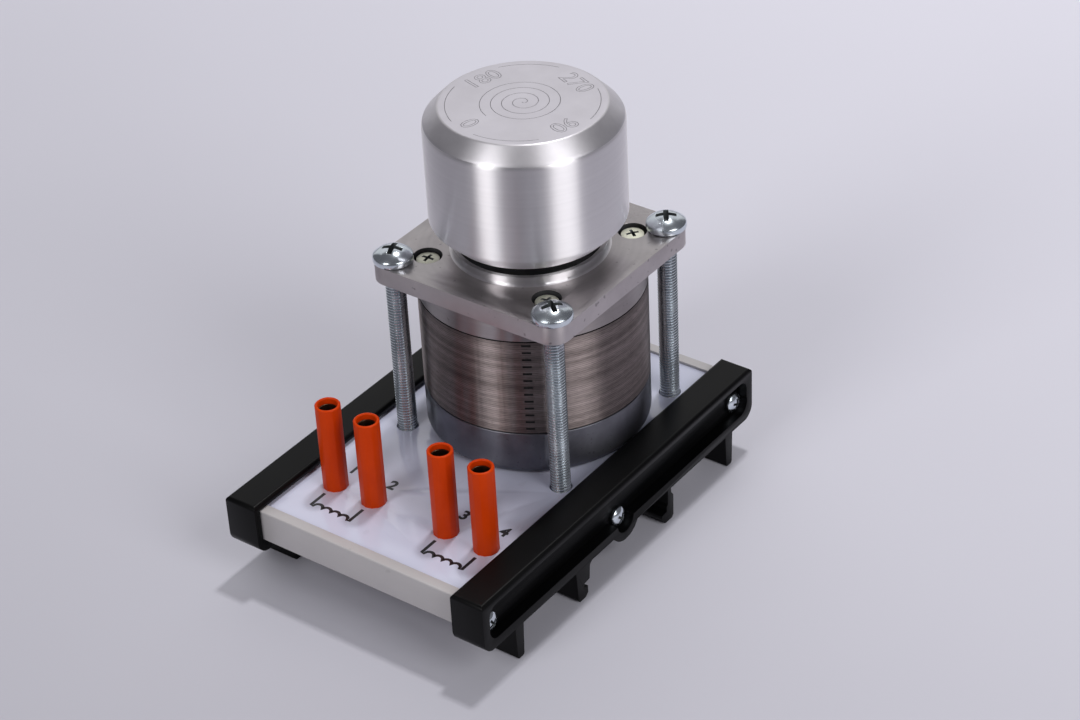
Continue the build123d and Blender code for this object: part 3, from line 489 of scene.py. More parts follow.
def new_object(name, mesh, *materials):
    """An object at the origin that holds a mesh and its materials."""
    made = bpy.data.objects.new(name, mesh)
    bpy.context.scene.collection.objects.link(made)
    for material in materials:
        mesh.materials.append(material)
    return made


def mesh_from(name, built):
    """Turn a bmesh into a mesh and free it."""
    mesh = bpy.data.meshes.new(name)
    built.to_mesh(mesh)
    built.free()
    return mesh


def settle(item):
    """Turn an object's modifiers into plain mesh."""
    bpy.context.view_layer.update()
    graph = bpy.context.evaluated_depsgraph_get()
    mesh = bpy.data.meshes.new_from_object(
        item.evaluated_get(graph), preserve_all_data_layers=True, depsgraph=graph
    )
    old = item.data
    item.modifiers.clear()
    item.data = mesh
    if old.users == 0:
        bpy.data.meshes.remove(old)
    return item


def smooth(item, degrees=SMOOTH_ANGLE):
    """Shade smoothly except over edges sharper than an angle."""
    item.data.shade_smooth()
    item.data.set_sharp_from_angle(angle=math.radians(degrees))


def bevelled(item, width, degrees=SMOOTH_ANGLE, segments=2):
    """Break every edge sharper than an angle, then shade smoothly."""
    bevel = item.modifiers.new("Bevel", "BEVEL")
    bevel.width = width
    bevel.segments = segments
    bevel.limit_method = "ANGLE"
    bevel.angle_limit = math.radians(degrees)
    bevel.harden_normals = False
    settle(item)
    smooth(item, max(degrees, SMOOTH_ANGLE))
    return item


def solid_copy(name, node, *materials):
    """A merged copy of a CAD node's mesh, with its flat faces joined up."""
    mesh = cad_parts[node].data.copy()
    mesh.materials.clear()
    mesh.name = name
    for layer in list(mesh.uv_layers):
        mesh.uv_layers.remove(layer)
    built = bmesh.new()
    built.from_mesh(mesh)
    bmesh.ops.remove_doubles(built, verts=built.verts, dist=MERGE_DISTANCE)
    bmesh.ops.dissolve_limit(
        built,
        angle_limit=math.radians(FLAT_ANGLE),
        verts=built.verts,
        edges=built.edges,
        use_dissolve_boundaries=False,
    )
    for face in built.faces:
        face.material_index = 0
    built.to_mesh(mesh)
    built.free()
    if "custom_normal" in mesh.attributes:
        mesh.attributes.remove(mesh.attributes["custom_normal"])
    return new_object(name, mesh, *materials)


def mount(item, body, slot, *nodes):
    """Put a finished piece on its body, in place of its CAD nodes."""
    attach(item, body)
    if nodes:
        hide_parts(*nodes)
    return item


def dress(node, material, body, slot, width=0.2 * MM, degrees=SMOOTH_ANGLE, segments=2):
    """Replace a CAD node by a copy with broken edges and its own finish."""
    item = solid_copy(node + "_finished", node, material)
    bevelled(item, width, degrees, segments)
    return mount(item, body, slot, node)


def circle_points(radius, height, steps):
    """Points evenly round the upright axis at one height."""
    turns = [2 * math.pi * step / steps for step in range(steps)]
    return [(radius * math.cos(turn), radius * math.sin(turn), height) for turn in turns]


def lathe(name, outline, steps=160, closed=False):
    """A solid turned about the upright axis through the origin, from (radius, height) points."""
    built = bmesh.new()
    rows = []
    for radius, height in outline:
        if radius < 1e-7:
            rows.append([built.verts.new((0, 0, height))] * steps)
        else:
            rows.append([built.verts.new(point) for point in circle_points(radius, height, steps)])
    pairs = list(zip(rows, rows[1:]))
    if closed:
        pairs.append((rows[-1], rows[0]))
    for first, second in pairs:
        for step in range(steps):
            after = (step + 1) % steps
            corners = [first[step], first[after], second[after], second[step]]
            distinct = list(dict.fromkeys(corners))
            if len(distinct) > 2:
                built.faces.new(distinct)
    bmesh.ops.recalc_face_normals(built, faces=built.faces)
    return new_object(name, mesh_from(name, built))


def carve(item, cutter, use_self=False):
    """Cut one solid from another, carrying the cutter's material onto the new faces."""
    change = item.modifiers.new("Carve", "BOOLEAN")
    change.operation = "DIFFERENCE"
    change.object = cutter
    change.solver = "EXACT"
    change.use_self = use_self
    change.material_mode = "TRANSFER"
    settle(item)
    bpy.data.objects.remove(cutter)
    return item


def shift(item, offset):
    """Move a piece by moving its mesh."""
    item.data.transform(Matrix.Translation(Vector(offset)))
    return item


# --- Fasteners ---
THREAD_CREST = (0.42, 0.58)  # where a turn's crest starts and ends, as shares of the pitch
THREAD_DEPTH = 0.55  # of the pitch
SHANK_OVERLAP = 0.1 * MM  # into the head
THREAD_STEPS = 30
THREAD_MERGE = 0.001 * MM
THREAD_SLIVER = 0.0005 * MM

HEAD_FOOT = ((0.93, 0.0), (0.985, 0.05), (1.0, 0.16))  # shares of a head's radius and height
HEAD_RIM = ((1.0, 0.8), (0.985, 1.0))  # shares of its radius and of its upright side
DOME_RADIUS = 0.975  # of the head's radius
DOME_STEPS = 12
DOMED_WALL = 0.42  # the upright side of a pan head, as a share of its height
FLAT_WALL = 0.86
HEAD_STEPS = 64
HEAD_EDGE = 0.018  # of the head's radius

CROSS_MOUTH = (0.58, 0.13)  # half length and half width of a slot, as shares of the head's radius
CROSS_FLOOR = (0.26, 0.09)
CROSS_DEPTH = 0.62  # of the head's height
CROSS_RISE = 0.02 * MM  # how far the cutter stands above the head

SCREW_SMOOTH = 40.0


def threaded_shank(name, radius, pitch, low, high, depth):
    """A screw thread along Z: rows of points follow the helix, and both ends are cut flat."""
    built = bmesh.new()
    phases = ((0.0, radius - depth), (THREAD_CREST[0], radius), (THREAD_CREST[1], radius))
    turns = int((high - low) / pitch) + 3
    rows = []
    for turn in range(-1, turns):
        for phase, reach in phases:
            row = []
            for step in range(THREAD_STEPS + 1):
                angle = 2 * math.pi * step / THREAD_STEPS
                height = low + (turn + phase + step / THREAD_STEPS) * pitch
                height = min(max(height, low), high)
                row.append(built.verts.new((reach * math.cos(angle), reach * math.sin(angle), height)))
            rows.append(row)
    for first, second in zip(rows, rows[1:]):
        for step in range(THREAD_STEPS):
            built.faces.new((first[step], first[step + 1], second[step + 1], second[step]))
    bmesh.ops.remove_doubles(built, verts=built.verts, dist=THREAD_MERGE)
    bmesh.ops.dissolve_degenerate(built, dist=THREAD_SLIVER, edges=built.edges)
    return new_object(name, mesh_from(name, built))


def cross_cutter(radius, height):
    """Two crossed tapering blades, made into one solid, that cut a head's recess and carry its painted shade.
    """
    built = bmesh.new()
    for turn in (0.0, math.pi / 2):
        made = bmesh.ops.create_cube(built, size=1.0)["verts"]
        for corner in made:
            up = corner.co.z > 0
            long, wide = CROSS_MOUTH if up else CROSS_FLOOR
            rise = CROSS_RISE if up else -(CROSS_DEPTH * height)
            x = math.copysign(long * radius, corner.co.x)
            y = math.copysign(wide * radius, corner.co.y)
            corner.co = Vector((x, y, rise))
        bmesh.ops.rotate(built, verts=made, cent=(0, 0, 0), matrix=Matrix.Rotation(turn, 3, "Z"))
    bmesh.ops.translate(built, verts=built.verts, vec=(0, 0, height))
    bmesh.ops.recalc_face_normals(built, faces=built.faces)
    cross = new_object("cross", mesh_from("cross", built))
    spare = new_object("spare", bpy.data.meshes.new("spare"))
    union = cross.modifiers.new("Join", "BOOLEAN")
    union.solver = "EXACT"
    union.use_self = True
    union.operation = "UNION"
    union.object = spare
    settle(cross)
    bpy.data.objects.remove(spare)
    cross.data.materials.append(CROSS_PAINTED_SHADE)
    return cross


def cross_head(name, radius, height, wall):
    """A head with a domed top standing on height zero, with a tapered cross recess."""
    side = wall * height
    rise = height - side
    dome = (radius**2 + rise**2) / (2 * rise)
    outline = [(0.0, 0.0)]
    outline += [(wide * radius, high * height) for wide, high in HEAD_FOOT]
    outline += [(wide * radius, high * side) for wide, high in HEAD_RIM]
    for step in range(1, DOME_STEPS):
        reach = DOME_RADIUS * radius * math.cos(step / DOME_STEPS * math.pi / 2)
        outline.append((reach, height - dome + math.sqrt(dome**2 - reach**2)))
    outline.append((0.0, height))
    head = lathe(name, outline, HEAD_STEPS)
    head.data.materials.append(ZINC)
    carve(head, cross_cutter(radius, height))
    bevelled(head, HEAD_EDGE * radius, 35.0, 2)
    return head


def joined(name, *items):
    """Several meshes made into one object, whose recess faces carry a mark for their painted shade."""
    built = bmesh.new()
    for item in items:
        built.from_mesh(item.data)
    mesh = mesh_from(name, built)
    inner = mesh.attributes.new("recess", "BOOLEAN", "FACE")
    for entry, face in zip(inner.data, mesh.polygons):
        entry.value = face.material_index == 1
        face.material_index = 0
    for item in items:
        bpy.data.objects.remove(item)
    return new_object(name, mesh)


def screw(name, head_radius, head_height, radius, pitch, length, wall):
    """A screw pointing down, with the underside of its head at height zero."""
    head = cross_head(name + "_head", head_radius, head_height, wall)
    shank = threaded_shank(name + "_shank", radius, pitch, -length, SHANK_OVERLAP, THREAD_DEPTH * pitch)
    made = joined(name, head, shank)
    smooth(made, SCREW_SMOOTH)
    return made


def placing_tree():
    """Geometry nodes that put one object on every point, turned by the point's value and by chance."""
    tree, given, result = new_group(
        "Place on points",
        [
            ("Geometry", GEOMETRY, None),
            ("Fastener", "NodeSocketObject", None),
            ("Size", FLOAT, 1.0),
            ("Random turn", FLOAT, 0.0),
            ("Seed", "NodeSocketInt", 3),
            ("Finish", "NodeSocketMaterial", None),
            ("Recess finish", "NodeSocketMaterial", None),
        ],
        ["Geometry"],
        "GeometryNodeTree",
        GEOMETRY,
    )
    tree.is_modifier = True
    thing = wired(tree, "GeometryNodeObjectInfo", {"Object": given["Fastener"]}, transform_space="RELATIVE")
    aim = wired(tree, "GeometryNodeInputNamedAttribute", {"Name": "turn"}, data_type="FLOAT_VECTOR")
    limit = wired(tree, "ShaderNodeCombineXYZ", {"Z": given["Random turn"]})[0]
    span = {"Min": (0.0, 0.0, 0.0), "Max": limit, "Seed": given["Seed"]}
    chance = wired(tree, "FunctionNodeRandomValue", span, data_type="FLOAT_VECTOR")
    turns = {0: aim["Attribute"], 1: chance["Value"]}
    total = wired(tree, "ShaderNodeVectorMath", turns, operation="ADD")[0]
    copies = {"Points": given["Geometry"], "Instance": thing["Geometry"]}
    copies |= {"Rotation": total, "Scale": given["Size"]}
    place = wired(tree, "GeometryNodeInstanceOnPoints", copies)
    real = wired(tree, "GeometryNodeRealizeInstances", {"Geometry": place["Instances"]})
    paint = {"Geometry": real["Geometry"], "Material": given["Finish"]}
    painted = wired(tree, "GeometryNodeSetMaterial", paint)
    # The recess faces take the painted shade.
    inner = wired(tree, "GeometryNodeInputNamedAttribute", {"Name": "recess"}, data_type="BOOLEAN")
    shade = {"Geometry": painted["Geometry"], "Selection": inner["Attribute"]}
    shade |= {"Material": given["Recess finish"]}
    shaded = wired(tree, "GeometryNodeSetMaterial", shade)
    feed(tree, result["Geometry"], shaded["Geometry"])
    return tree


PLACE_ON_POINTS = placing_tree()


def set_inputs(modifier, **values):
    """Set a geometry nodes modifier's inputs by their names."""
    wanted = {name.replace("_", " "): value for name, value in values.items()}
    for entry in modifier.node_group.interface.items_tree:
        if entry.item_type == "SOCKET" and entry.in_out == "INPUT" and entry.name in wanted:
            modifier[entry.identifier] = wanted[entry.name]


def placed(name, thing, points, material, **values):
    """One mesh of copies of a thing at (position, turn) points."""
    mesh = bpy.data.meshes.new(name)
    mesh.from_pydata([place for place, _ in points], [], [])
    turns = mesh.attributes.new("turn", "FLOAT_VECTOR", "POINT")
    for entry, (_, turn) in zip(turns.data, points):
        entry.vector = turn
    made = new_object(name, mesh)
    modifier = made.modifiers.new("Place", "NODES")
    modifier.node_group = PLACE_ON_POINTS
    set_inputs(modifier, Fastener=thing, Finish=material, Recess_finish=CROSS_PAINTED_SHADE, **values)
    settle(made)
    smooth(made, SCREW_SMOOTH)
    bpy.data.objects.remove(thing)
    return made


def screws(node, points, material, sizes, length, wall=DOMED_WALL, **values):
    """Replace a CAD node of screws by threaded ones at (position, turn) points."""
    item = placed(node + "_threaded", screw("screw", *sizes, length, wall), points, material, **values)
    mount(item, "carrier", "zinc_steel", node)


# Head radius, head height, thread radius and pitch
MOUNTING_SIZES = (5.0 * MM, 3.7 * MM, 2.5 * MM, 0.8 * MM)
ASSEMBLY_SIZES = (2.9 * MM, 2.3 * MM, 1.5 * MM, 0.5 * MM)
SIDE_SIZES = (2.65 * MM, 1.9 * MM, 1.25 * MM, 1.0 * MM)
SIDE_LENGTH = 9.5 * MM
SIDE_TURN = 0.5  # radians, for the first screw of a side
SIDE_TURN_STEP = 0.4
ASSEMBLY_TURN = 1.5  # radians at most, by chance
ASSEMBLY_SEED = 5
# A motor screw's corner (X side, Y side) and the turn of a mounting screw's cross there, in radians
CORNERS = {(-1, -1): 0.35, (1, -1): 0.95, (-1, 1): 0.2, (1, 1): 0.62}


def corner_points(half, height, turned):
    """The four corners of a square about the motor's axis, as (position, turn) points."""
    points = []
    for (sx, sy), turn in CORNERS.items():
        spot = (AXIS.x + sx * half, AXIS.y + sy * half, height)
        points.append((spot, (0, 0, turn if turned else 0)))
    return points


SCREW_LOW, SCREW_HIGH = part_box("mounting_screws")
mounting_half = (SCREW_HIGH.x - SCREW_LOW.x) / 2 - MOUNTING_SIZES[0]
mounting_points = corner_points(mounting_half, FLANGE_TOP, True)
screws("mounting_screws", mounting_points, ZINC, MOUNTING_SIZES, FLANGE_TOP - SCREW_LOW.z)

ASSEMBLY_LOW, ASSEMBLY_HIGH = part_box("assembly_screws")
assembly_half = (ASSEMBLY_HIGH.x - ASSEMBLY_LOW.x) / 2 - ASSEMBLY_SIZES[0]
assembly_seat = ASSEMBLY_HIGH.z - ASSEMBLY_SIZES[1]
assembly_points = corner_points(assembly_half, assembly_seat, False)
screws(
    "assembly_screws", assembly_points, YELLOW_ZINC, ASSEMBLY_SIZES, assembly_seat - ASSEMBLY_LOW.z,
    FLAT_WALL, Random_turn=ASSEMBLY_TURN, Seed=ASSEMBLY_SEED,
)


def side_points():
    """The six side screws' seats, with their heads facing outwards and their crosses turned apart."""
    low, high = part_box("side_screws")
    seat = high.x - SIDE_SIZES[1]
    end = high.y - SIDE_SIZES[0]
    rise = high.z - SIDE_SIZES[0]
    middle = low.z + SIDE_SIZES[0]
    points = []
    for side in (-1, 1):
        for number, (y, z) in enumerate(((-end, rise), (0.0, middle), (end, rise))):
            spin = SIDE_TURN + SIDE_TURN_STEP * number
            aim = Matrix.Rotation(side * math.pi / 2, 3, "Y") @ Matrix.Rotation(spin, 3, "Z")
            points.append(((side * seat, y, z), tuple(aim.to_euler("XYZ"))))
    return points


screws("side_screws", side_points(), ZINC, SIDE_SIZES, SIDE_LENGTH)


# --- Lines and figures ---
def curve_mesh(curve):
    """A curve's solid as a plain mesh."""
    item = bpy.data.objects.new("curve", curve)
    bpy.context.scene.collection.objects.link(item)
    bpy.context.view_layer.update()
    graph = bpy.context.evaluated_depsgraph_get()
    mesh = bpy.data.meshes.new_from_object(item.evaluated_get(graph), depsgraph=graph)
    bpy.data.objects.remove(item)
    return mesh


def figure_curve(words, size, resolution):
    """The outlines of a number's figures, centred on the origin."""
    curve = bpy.data.curves.new("figures", "FONT")
    curve.body = words
    curve.size = size
    curve.align_x = "CENTER"
    curve.align_y = "CENTER"
    curve.resolution_u = resolution
    return curve


def path_curve(points):
    """A curve through flat points."""
    curve = bpy.data.curves.new("path", "CURVE")
    curve.dimensions = "3D"
    spline = curve.splines.new("POLY")
    spline.points.add(len(points) - 1)
    for point, (x, y) in zip(spline.points, points):
        point.co = (x, y, 0.0, 1.0)
    return curve


# --- Dial knob ---
RING_ARCS = ((5, 52), (98, 145), (188, 242), (268, 318))  # from and to, in degrees
ARC_STEPS = 24
RING_RADIUS = 18.3 * MM
DIGITS = (("0", -107), ("90", -15), ("270", 69), ("180", 165))
DIGIT_RADIUS = 15.0 * MM
DIGIT_SIZE = 6.6 * MM
SPIRAL_PITCH = 2.6 * MM
SPIRAL_TURNS = 4
SPIRAL_STEPS = 48  # in a turn
SPIRAL_START = 1.9  # radians
SPIRAL_CORE = 0.25 * MM
ENGRAVING_WIDTH = 0.16 * MM
TOP_CHAMFER = 3.95 * MM
BOTTOM_CHAMFER = 4.25 * MM
KNOB_EDGE_BREAKS = (0.14 * MM, 0.5 * MM, 1.1 * MM, 0.4 * MM)
ROUND_STEPS = 5
KNOB_STEPS = 192
KNOB_SMOOTH = 25.0
TOP_SLACK = 0.01 * MM
SHOULDER_SLACK = 0.05 * MM
SHAFT_CLEARANCE = 0.01 * MM
GRUB_HOLE_RADIUS = 2.08 * MM


def rounded(corners, breaks):
    """An outline with each inner corner broken by a round of its own size."""
    outline = [corners[0]]
    for before, corner, after, radius in zip(corners, corners[1:], corners[2:], breaks):
        middle = Vector(corner)
        start = middle + (Vector(before) - middle).normalized() * radius
        end = middle + (Vector(after) - middle).normalized() * radius
        for step in range(ROUND_STEPS + 1):
            t = step / ROUND_STEPS
            outline.append(tuple(start * (1 - t) ** 2 + middle * 2 * t * (1 - t) + end * t**2))
    outline.append(corners[-1])
    return outline


def on_circle(radius, turn):
    """A flat point at a radius and an angle in radians."""
    return (radius * math.cos(turn), radius * math.sin(turn))


def arc_points(start, end):
    """Points along one arc of the dial's ring, between two angles in degrees."""
    turns = [math.radians(start + (end - start) * step / ARC_STEPS) for step in range(ARC_STEPS + 1)]
    return [on_circle(RING_RADIUS, turn) for turn in turns]


def spiral_points():
    """Points along the dial's spiral, from its core outwards."""
    points = []
    for step in range(SPIRAL_TURNS * SPIRAL_STEPS + 1):
        turn = 2 * math.pi * step / SPIRAL_STEPS
        reach = max(SPIRAL_PITCH * step / SPIRAL_STEPS, SPIRAL_CORE)
        points.append(on_circle(reach, turn - SPIRAL_START))
    return points


def line_cutter(curve, place=None):
    """A thin rod along a curve's lines, laid on the dial's face, for cutting a fine groove."""
    curve.bevel_depth = ENGRAVING_WIDTH / 2
    curve.bevel_resolution = 0
    curve.use_fill_caps = True
    mesh = curve_mesh(curve)
    if place:
        mesh.transform(place)
    return mesh


def engraving_cutter(height):
    """The rods of the spiral, the ring's arcs and the figures, at the height of the dial's face."""
    cutters = [line_cutter(path_curve(spiral_points()))]
    cutters += [line_cutter(path_curve(arc_points(*span))) for span in RING_ARCS]
    for words, degrees in DIGITS:
        turn = math.radians(degrees)
        figures = figure_curve(words, DIGIT_SIZE, 3)
        figures.fill_mode = "NONE"
        spot = Matrix.Translation((*on_circle(DIGIT_RADIUS, turn), 0))
        cutters.append(line_cutter(figures, spot @ Matrix.Rotation(turn - math.pi / 2, 4, "Z")))
    built = bmesh.new()
    for mesh in cutters:
        built.from_mesh(mesh)
        bpy.data.meshes.remove(mesh)
    bmesh.ops.translate(built, verts=built.verts, vec=(0, 0, height))
    bmesh.ops.recalc_face_normals(built, faces=built.faces)
    return new_object("engraving", mesh_from("engraving", built), ENGRAVED)


def plug(name, radius, low, high, steps):
    """A plain round cutter along the upright axis."""
    made = lathe(name, [(0, low), (radius, low), (radius, high), (0, high)], steps)
    made.data.materials.append(KNOB_SIDE)
    return made


def dial_knob():
    """The turned knob with its bore, grub-screw hole and engraved dial."""
    low = KNOB_LOW.z
    top = KNOB_HIGH.z
    shoulder = top - TOP_CHAMFER
    corners = [(0.0, low), (KNOB_RADIUS - BOTTOM_CHAMFER, low), (KNOB_RADIUS, low + BOTTOM_CHAMFER)]
    corners += [(KNOB_RADIUS, shoulder), (KNOB_RADIUS - TOP_CHAMFER, top), (0.0, top)]
    knob = lathe("dial_knob_engraved", rounded(corners, KNOB_EDGE_BREAKS), KNOB_STEPS)
    for material in (KNOB_SIDE, KNOB_TOP, ENGRAVED, KNOB_SHOULDER):
        knob.data.materials.append(material)
    for face in knob.data.polygons:
        if face.center.z > top - TOP_SLACK:
            face.material_index = 1
        elif face.center.z > shoulder + SHOULDER_SLACK:
            face.material_index = 3

    shaft_low, shaft_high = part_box("motor_shaft")
    bore_radius = (shaft_high.x - shaft_low.x) / 2 + SHAFT_CLEARANCE
    carve(knob, plug("bore", bore_radius, low - MM, shaft_high.z + MM, 64))
    grub = centre("knob_grub_screw")
    hole = plug("hole", GRUB_HOLE_RADIUS, 0, KNOB_RADIUS + MM, 40)
    aim = Matrix.Rotation(math.atan2(grub.y - AXIS.y, grub.x - AXIS.x), 4, "Z")
    tip = Matrix.Rotation(math.pi / 2, 4, "Y")
    hole.data.transform(Matrix.Translation((0, 0, grub.z)) @ aim @ tip)
    carve(knob, hole)
    carve(knob, engraving_cutter(top), use_self=True)
    smooth(knob, KNOB_SMOOTH)
    return shift(knob, AXIS)


mount(dial_knob(), "rotor", "turned_alloy", "dial_knob")
dress("knob_grub_screw", BLACK_STEEL, "rotor", "black_steel", 0.1 * MM)


# --- Motor body ---
# How far the faces of each of the flange's zones reach from the axis that they belong to
BOSS_REACH = 19.9 * MM
SKIRT_REACH = 28.4 * MM
MOUTH_REACH = 18.1 * MM
RIM_REACH = 18.95 * MM
COUNTERBORE_REACH = 3.7 * MM
LEVEL = 0.02 * MM  # how much lower than a flat face its own faces may lie
MOUTH_DROP = 0.4 * MM
COUNTERBORE_DROP = 0.35 * MM


def largest_reach(spots, x, y):
    """How far the farthest of some points lies from an upright axis."""
    return max(math.hypot(spot.x - x, spot.y - y) for spot in spots)


def front_flange():
    """The machined flange, with its bright boss and painted shade in its recess, on the boss's top face and
    in the counterbores.
    """
    zones = (FLANGE_EDGE, BOSS_BRIGHT, PAINTED_SHADE_RECESS, SKIRT, FLANGE_FACE)
    edge, boss, recess, skirt, top = range(len(zones))
    item = solid_copy("front_flange_machined", "front_flange", *zones)
    bevelled(item, 0.3 * MM, 40.0, 3)
    for face in item.data.polygons:
        spots = [item.data.vertices[index].co for index in face.vertices]
        reach = largest_reach(spots, AXIS.x, AXIS.y)
        screw_reach = min(largest_reach(spots, x, y) for (x, y, _), _ in assembly_points)
        height = face.center.z
        face.material_index = edge
        if height > FLANGE_TOP - LEVEL:
            face.material_index = top if reach > BOSS_REACH else boss
        elif reach < SKIRT_REACH and height < FLANGE_UNDERSIDE:
            face.material_index = skirt
        # Painted shade: the boss's mouth, its top face under the knob and the counterbores' walls are
        # coloured as dark as their shadow.
        if reach < MOUTH_REACH and height < BOSS_TOP - MOUTH_DROP:
            face.material_index = recess
        if reach < RIM_REACH and height > BOSS_TOP - LEVEL:
            face.material_index = recess
        if screw_reach < COUNTERBORE_REACH and height < FLANGE_TOP - COUNTERBORE_DROP:
            face.material_index = recess
    return item


mount(front_flange(), "carrier", "cast_alloy", "front_flange")


SEAM_WIDTH = 0.4 * MM
# The marks' faces by their middles: reach from the axis, and how far from the stack's middle height
MARK_FLOOR = (27.6 * MM, 28.02 * MM)
MARK_WALL = (27.6 * MM, 28.15 * MM)
MARK_SPAN = 13.0 * MM
UPRIGHT = 0.2  # at most, for the upward part of a wall's normal
LEVEL_FACE = 0.8  # at least, for a floor's


def stator_stack():
    """The ground stack, with a dark seam at both ends and its column of marks blacked in."""
    item = solid_copy("stator_stack_ground", "stator_laminations", STACK, MARK_BLACK, SEAM)
    low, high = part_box("stator_laminations")
    outer = (high.x - low.x) / 2
    middle = ((low + high) / 2).z
    for base in (low.z - MM, high.z - SEAM_WIDTH):
        edge = [(outer - SEAM_WIDTH, base), (outer + MM, base)]
        edge += [(outer + MM, base + MM + SEAM_WIDTH), (outer - SEAM_WIDTH, base + MM + SEAM_WIDTH)]
        ring = shift(lathe("seam", edge, closed=True), AXIS)
        ring.data.materials.append(SEAM)
        carve(item, ring)
    smooth(item)
    for face in item.data.polygons:
        reach = math.hypot(face.center.x - AXIS.x, face.center.y - AXIS.y)
        tilt = abs(face.normal.z)
        if MARK_FLOOR[0] < reach < MARK_FLOOR[1] and tilt < UPRIGHT:
            face.material_index = 1
        near = abs(face.center.z - middle) < MARK_SPAN
        if MARK_WALL[0] < reach < MARK_WALL[1] and tilt > LEVEL_FACE and near:
            face.material_index = 1
    return item


mount(stator_stack(), "carrier", "ground_laminations", "stator_laminations")
dress("rear_bell", BELL, "carrier", "cast_alloy", 0.25 * MM, 40.0, 3)

# --- Carrier: node, finish, slot, then the width, least angle and steps of its broken edges ---
CARRIER_PIECES = [
    ("side_element_left", BLACK_MOULDING, "black_plastic", 0.35, 30.0, 3),
    ("side_element_right", BLACK_MOULDING, "black_plastic", 0.35, 30.0, 3),
    ("carrier_profile", GREY_EXTRUSION, "grey_profile", 0.12, 40.0, 2),
    ("terminal_plate", WHITE_PLATE, "white_plate", 0.1, 40.0, 2),
]
for number in range(1, 5):
    CARRIER_PIECES += [
        ("socket_sleeve_%d" % number, ORANGE, "orange_plastic", 0.22, 22.0, 3),
        ("socket_contact_%d" % number, NICKEL_IN_PAINTED_SHADE, "nickel_brass", 0.12, 40.0, 2),
    ]
CARRIER_PIECES += [
    ("terminal_nuts", ZINC, "zinc_steel", 0.12, SMOOTH_ANGLE, 2),
    ("mounting_nuts", ZINC, "zinc_steel", 0.2, SMOOTH_ANGLE, 2),
    ("mounting_washers", ZINC, "zinc_steel", 0.1, SMOOTH_ANGLE, 2),
]
for node, material, slot, width, degrees, segments in CARRIER_PIECES:
    dress(node, material, "carrier", slot, width * MM, degrees, segments)


# --- Print on the plate ---
INK_DEPTH = 0.02 * MM
NUMBER_SIZE = 4.6 * MM
NUMBER_WEIGHT = 0.17 * MM
NUMBER_OFFSET = 7.1 * MM  # behind its socket
SYMBOL_LINE = 0.85 * MM
SYMBOL_Y = -45.5 * MM
SYMBOL_END_Y = -40.2 * MM  # at the foot of the sockets
LOOP_COUNT = 4
LOOP_WIDTH = 2.6 * MM
LOOP_STEPS = 8


def inked_line(built, points):
    """A thin closed strip of ink on the plate that follows a line of points."""
    rows = []
    for number, (x, y) in enumerate(points):
        before = Vector(points[max(number - 1, 0)])
        after = Vector(points[min(number + 1, len(points) - 1)])
        along = (after - before).normalized()
        across = Vector((-along.y, along.x)) * SYMBOL_LINE / 2
        corners = [(x - across.x, y - across.y), (x + across.x, y + across.y)]
        heights = (PLATE_TOP, PLATE_TOP + INK_DEPTH)
        rows.append([built.verts.new((*corner, height)) for height in heights for corner in corners])
    for first, second in zip(rows, rows[1:]):
        for a, b in ((0, 1), (1, 3), (3, 2), (2, 0)):
            built.faces.new((first[a], first[b], second[b], second[a]))
    for row in (rows[0], rows[-1]):
        built.faces.new((row[0], row[1], row[3], row[2]))


def coil_symbol(left, right):
    """The line of a winding symbol between two sockets: two ends and a row of half loops."""
    start = (left + right) / 2 - LOOP_COUNT * LOOP_WIDTH / 2
    points = [(left, SYMBOL_END_Y), (left, SYMBOL_Y), (start, SYMBOL_Y)]
    for loop in range(LOOP_COUNT):
        middle = start + (loop + 0.5) * LOOP_WIDTH
        for step in range(1, LOOP_STEPS + 1):
            x, y = on_circle(LOOP_WIDTH / 2, math.pi - math.pi * step / LOOP_STEPS)
            points.append((middle + x, SYMBOL_Y + y))
    return points + [(right, SYMBOL_Y), (right, SYMBOL_END_Y)]


def print_on_plate():
    """Terminal numbers and two winding symbols, as a thin layer of ink."""
    sockets = [centre("socket_sleeve_%d" % number) for number in range(1, 5)]
    built = bmesh.new()
    for number, spot in enumerate(sockets, start=1):
        figures = figure_curve(str(number), NUMBER_SIZE, 4)
        figures.extrude = INK_DEPTH / 2
        figures.offset = NUMBER_WEIGHT
        mesh = curve_mesh(figures)
        mesh.transform(Matrix.Translation((0, 0, INK_DEPTH / 2)))
        mesh.transform(Matrix.Translation((spot.x, spot.y + NUMBER_OFFSET, PLATE_TOP)))
        built.from_mesh(mesh)
        bpy.data.meshes.remove(mesh)
    for first, last in ((0, 1), (2, 3)):
        inked_line(built, coil_symbol(sockets[first].x, sockets[last].x))
    bmesh.ops.recalc_face_normals(built, faces=built.faces)
    return new_object("terminal_print", mesh_from("terminal_print", built), PRINT)


mount(print_on_plate(), "carrier", "white_plate")

# --- Hidden pieces keep their solids and take their finishes ---
HIDDEN = {
    "motor_shaft": SHAFT_STEEL,
    "rotor_cup_front": CORE_STEEL,
    "rotor_cup_rear": CORE_STEEL,
    "rotor_magnet": MAGNET,
    "front_insulator": INSULATION,
    "rear_insulator": INSULATION,
    "preload_washer": BEARING_STEEL,
    "lead_grommet": RUBBER,
}
for number in range(1, 9):
    HIDDEN["coil_%d" % number] = WIRE
for number, material in enumerate(LEAD_FINISHES, start=1):
    HIDDEN["lead_%d" % number] = material
for end in ("front", "rear"):
    for piece in ("outer", "inner", "balls", "shields"):
        HIDDEN["%s_bearing_%s" % (end, piece)] = BEARING_STEEL
    HIDDEN[end + "_bearing_cage"] = CAGE_BRASS
for name, material in HIDDEN.items():
    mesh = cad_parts[name].data
    mesh.materials.clear()
    mesh.materials.append(material)

# --- Floor, light and camera ---
FLOOR_HALF = 3.0
FLOOR_DROP = 0.02 * MM
FALLOFF_REACH = 0.35  # how far in front of and behind the middle the painted light falloff changes
FALLOFF_GAIN = (0.558, 1.442)  # of the painted light falloff, at the front and at the back
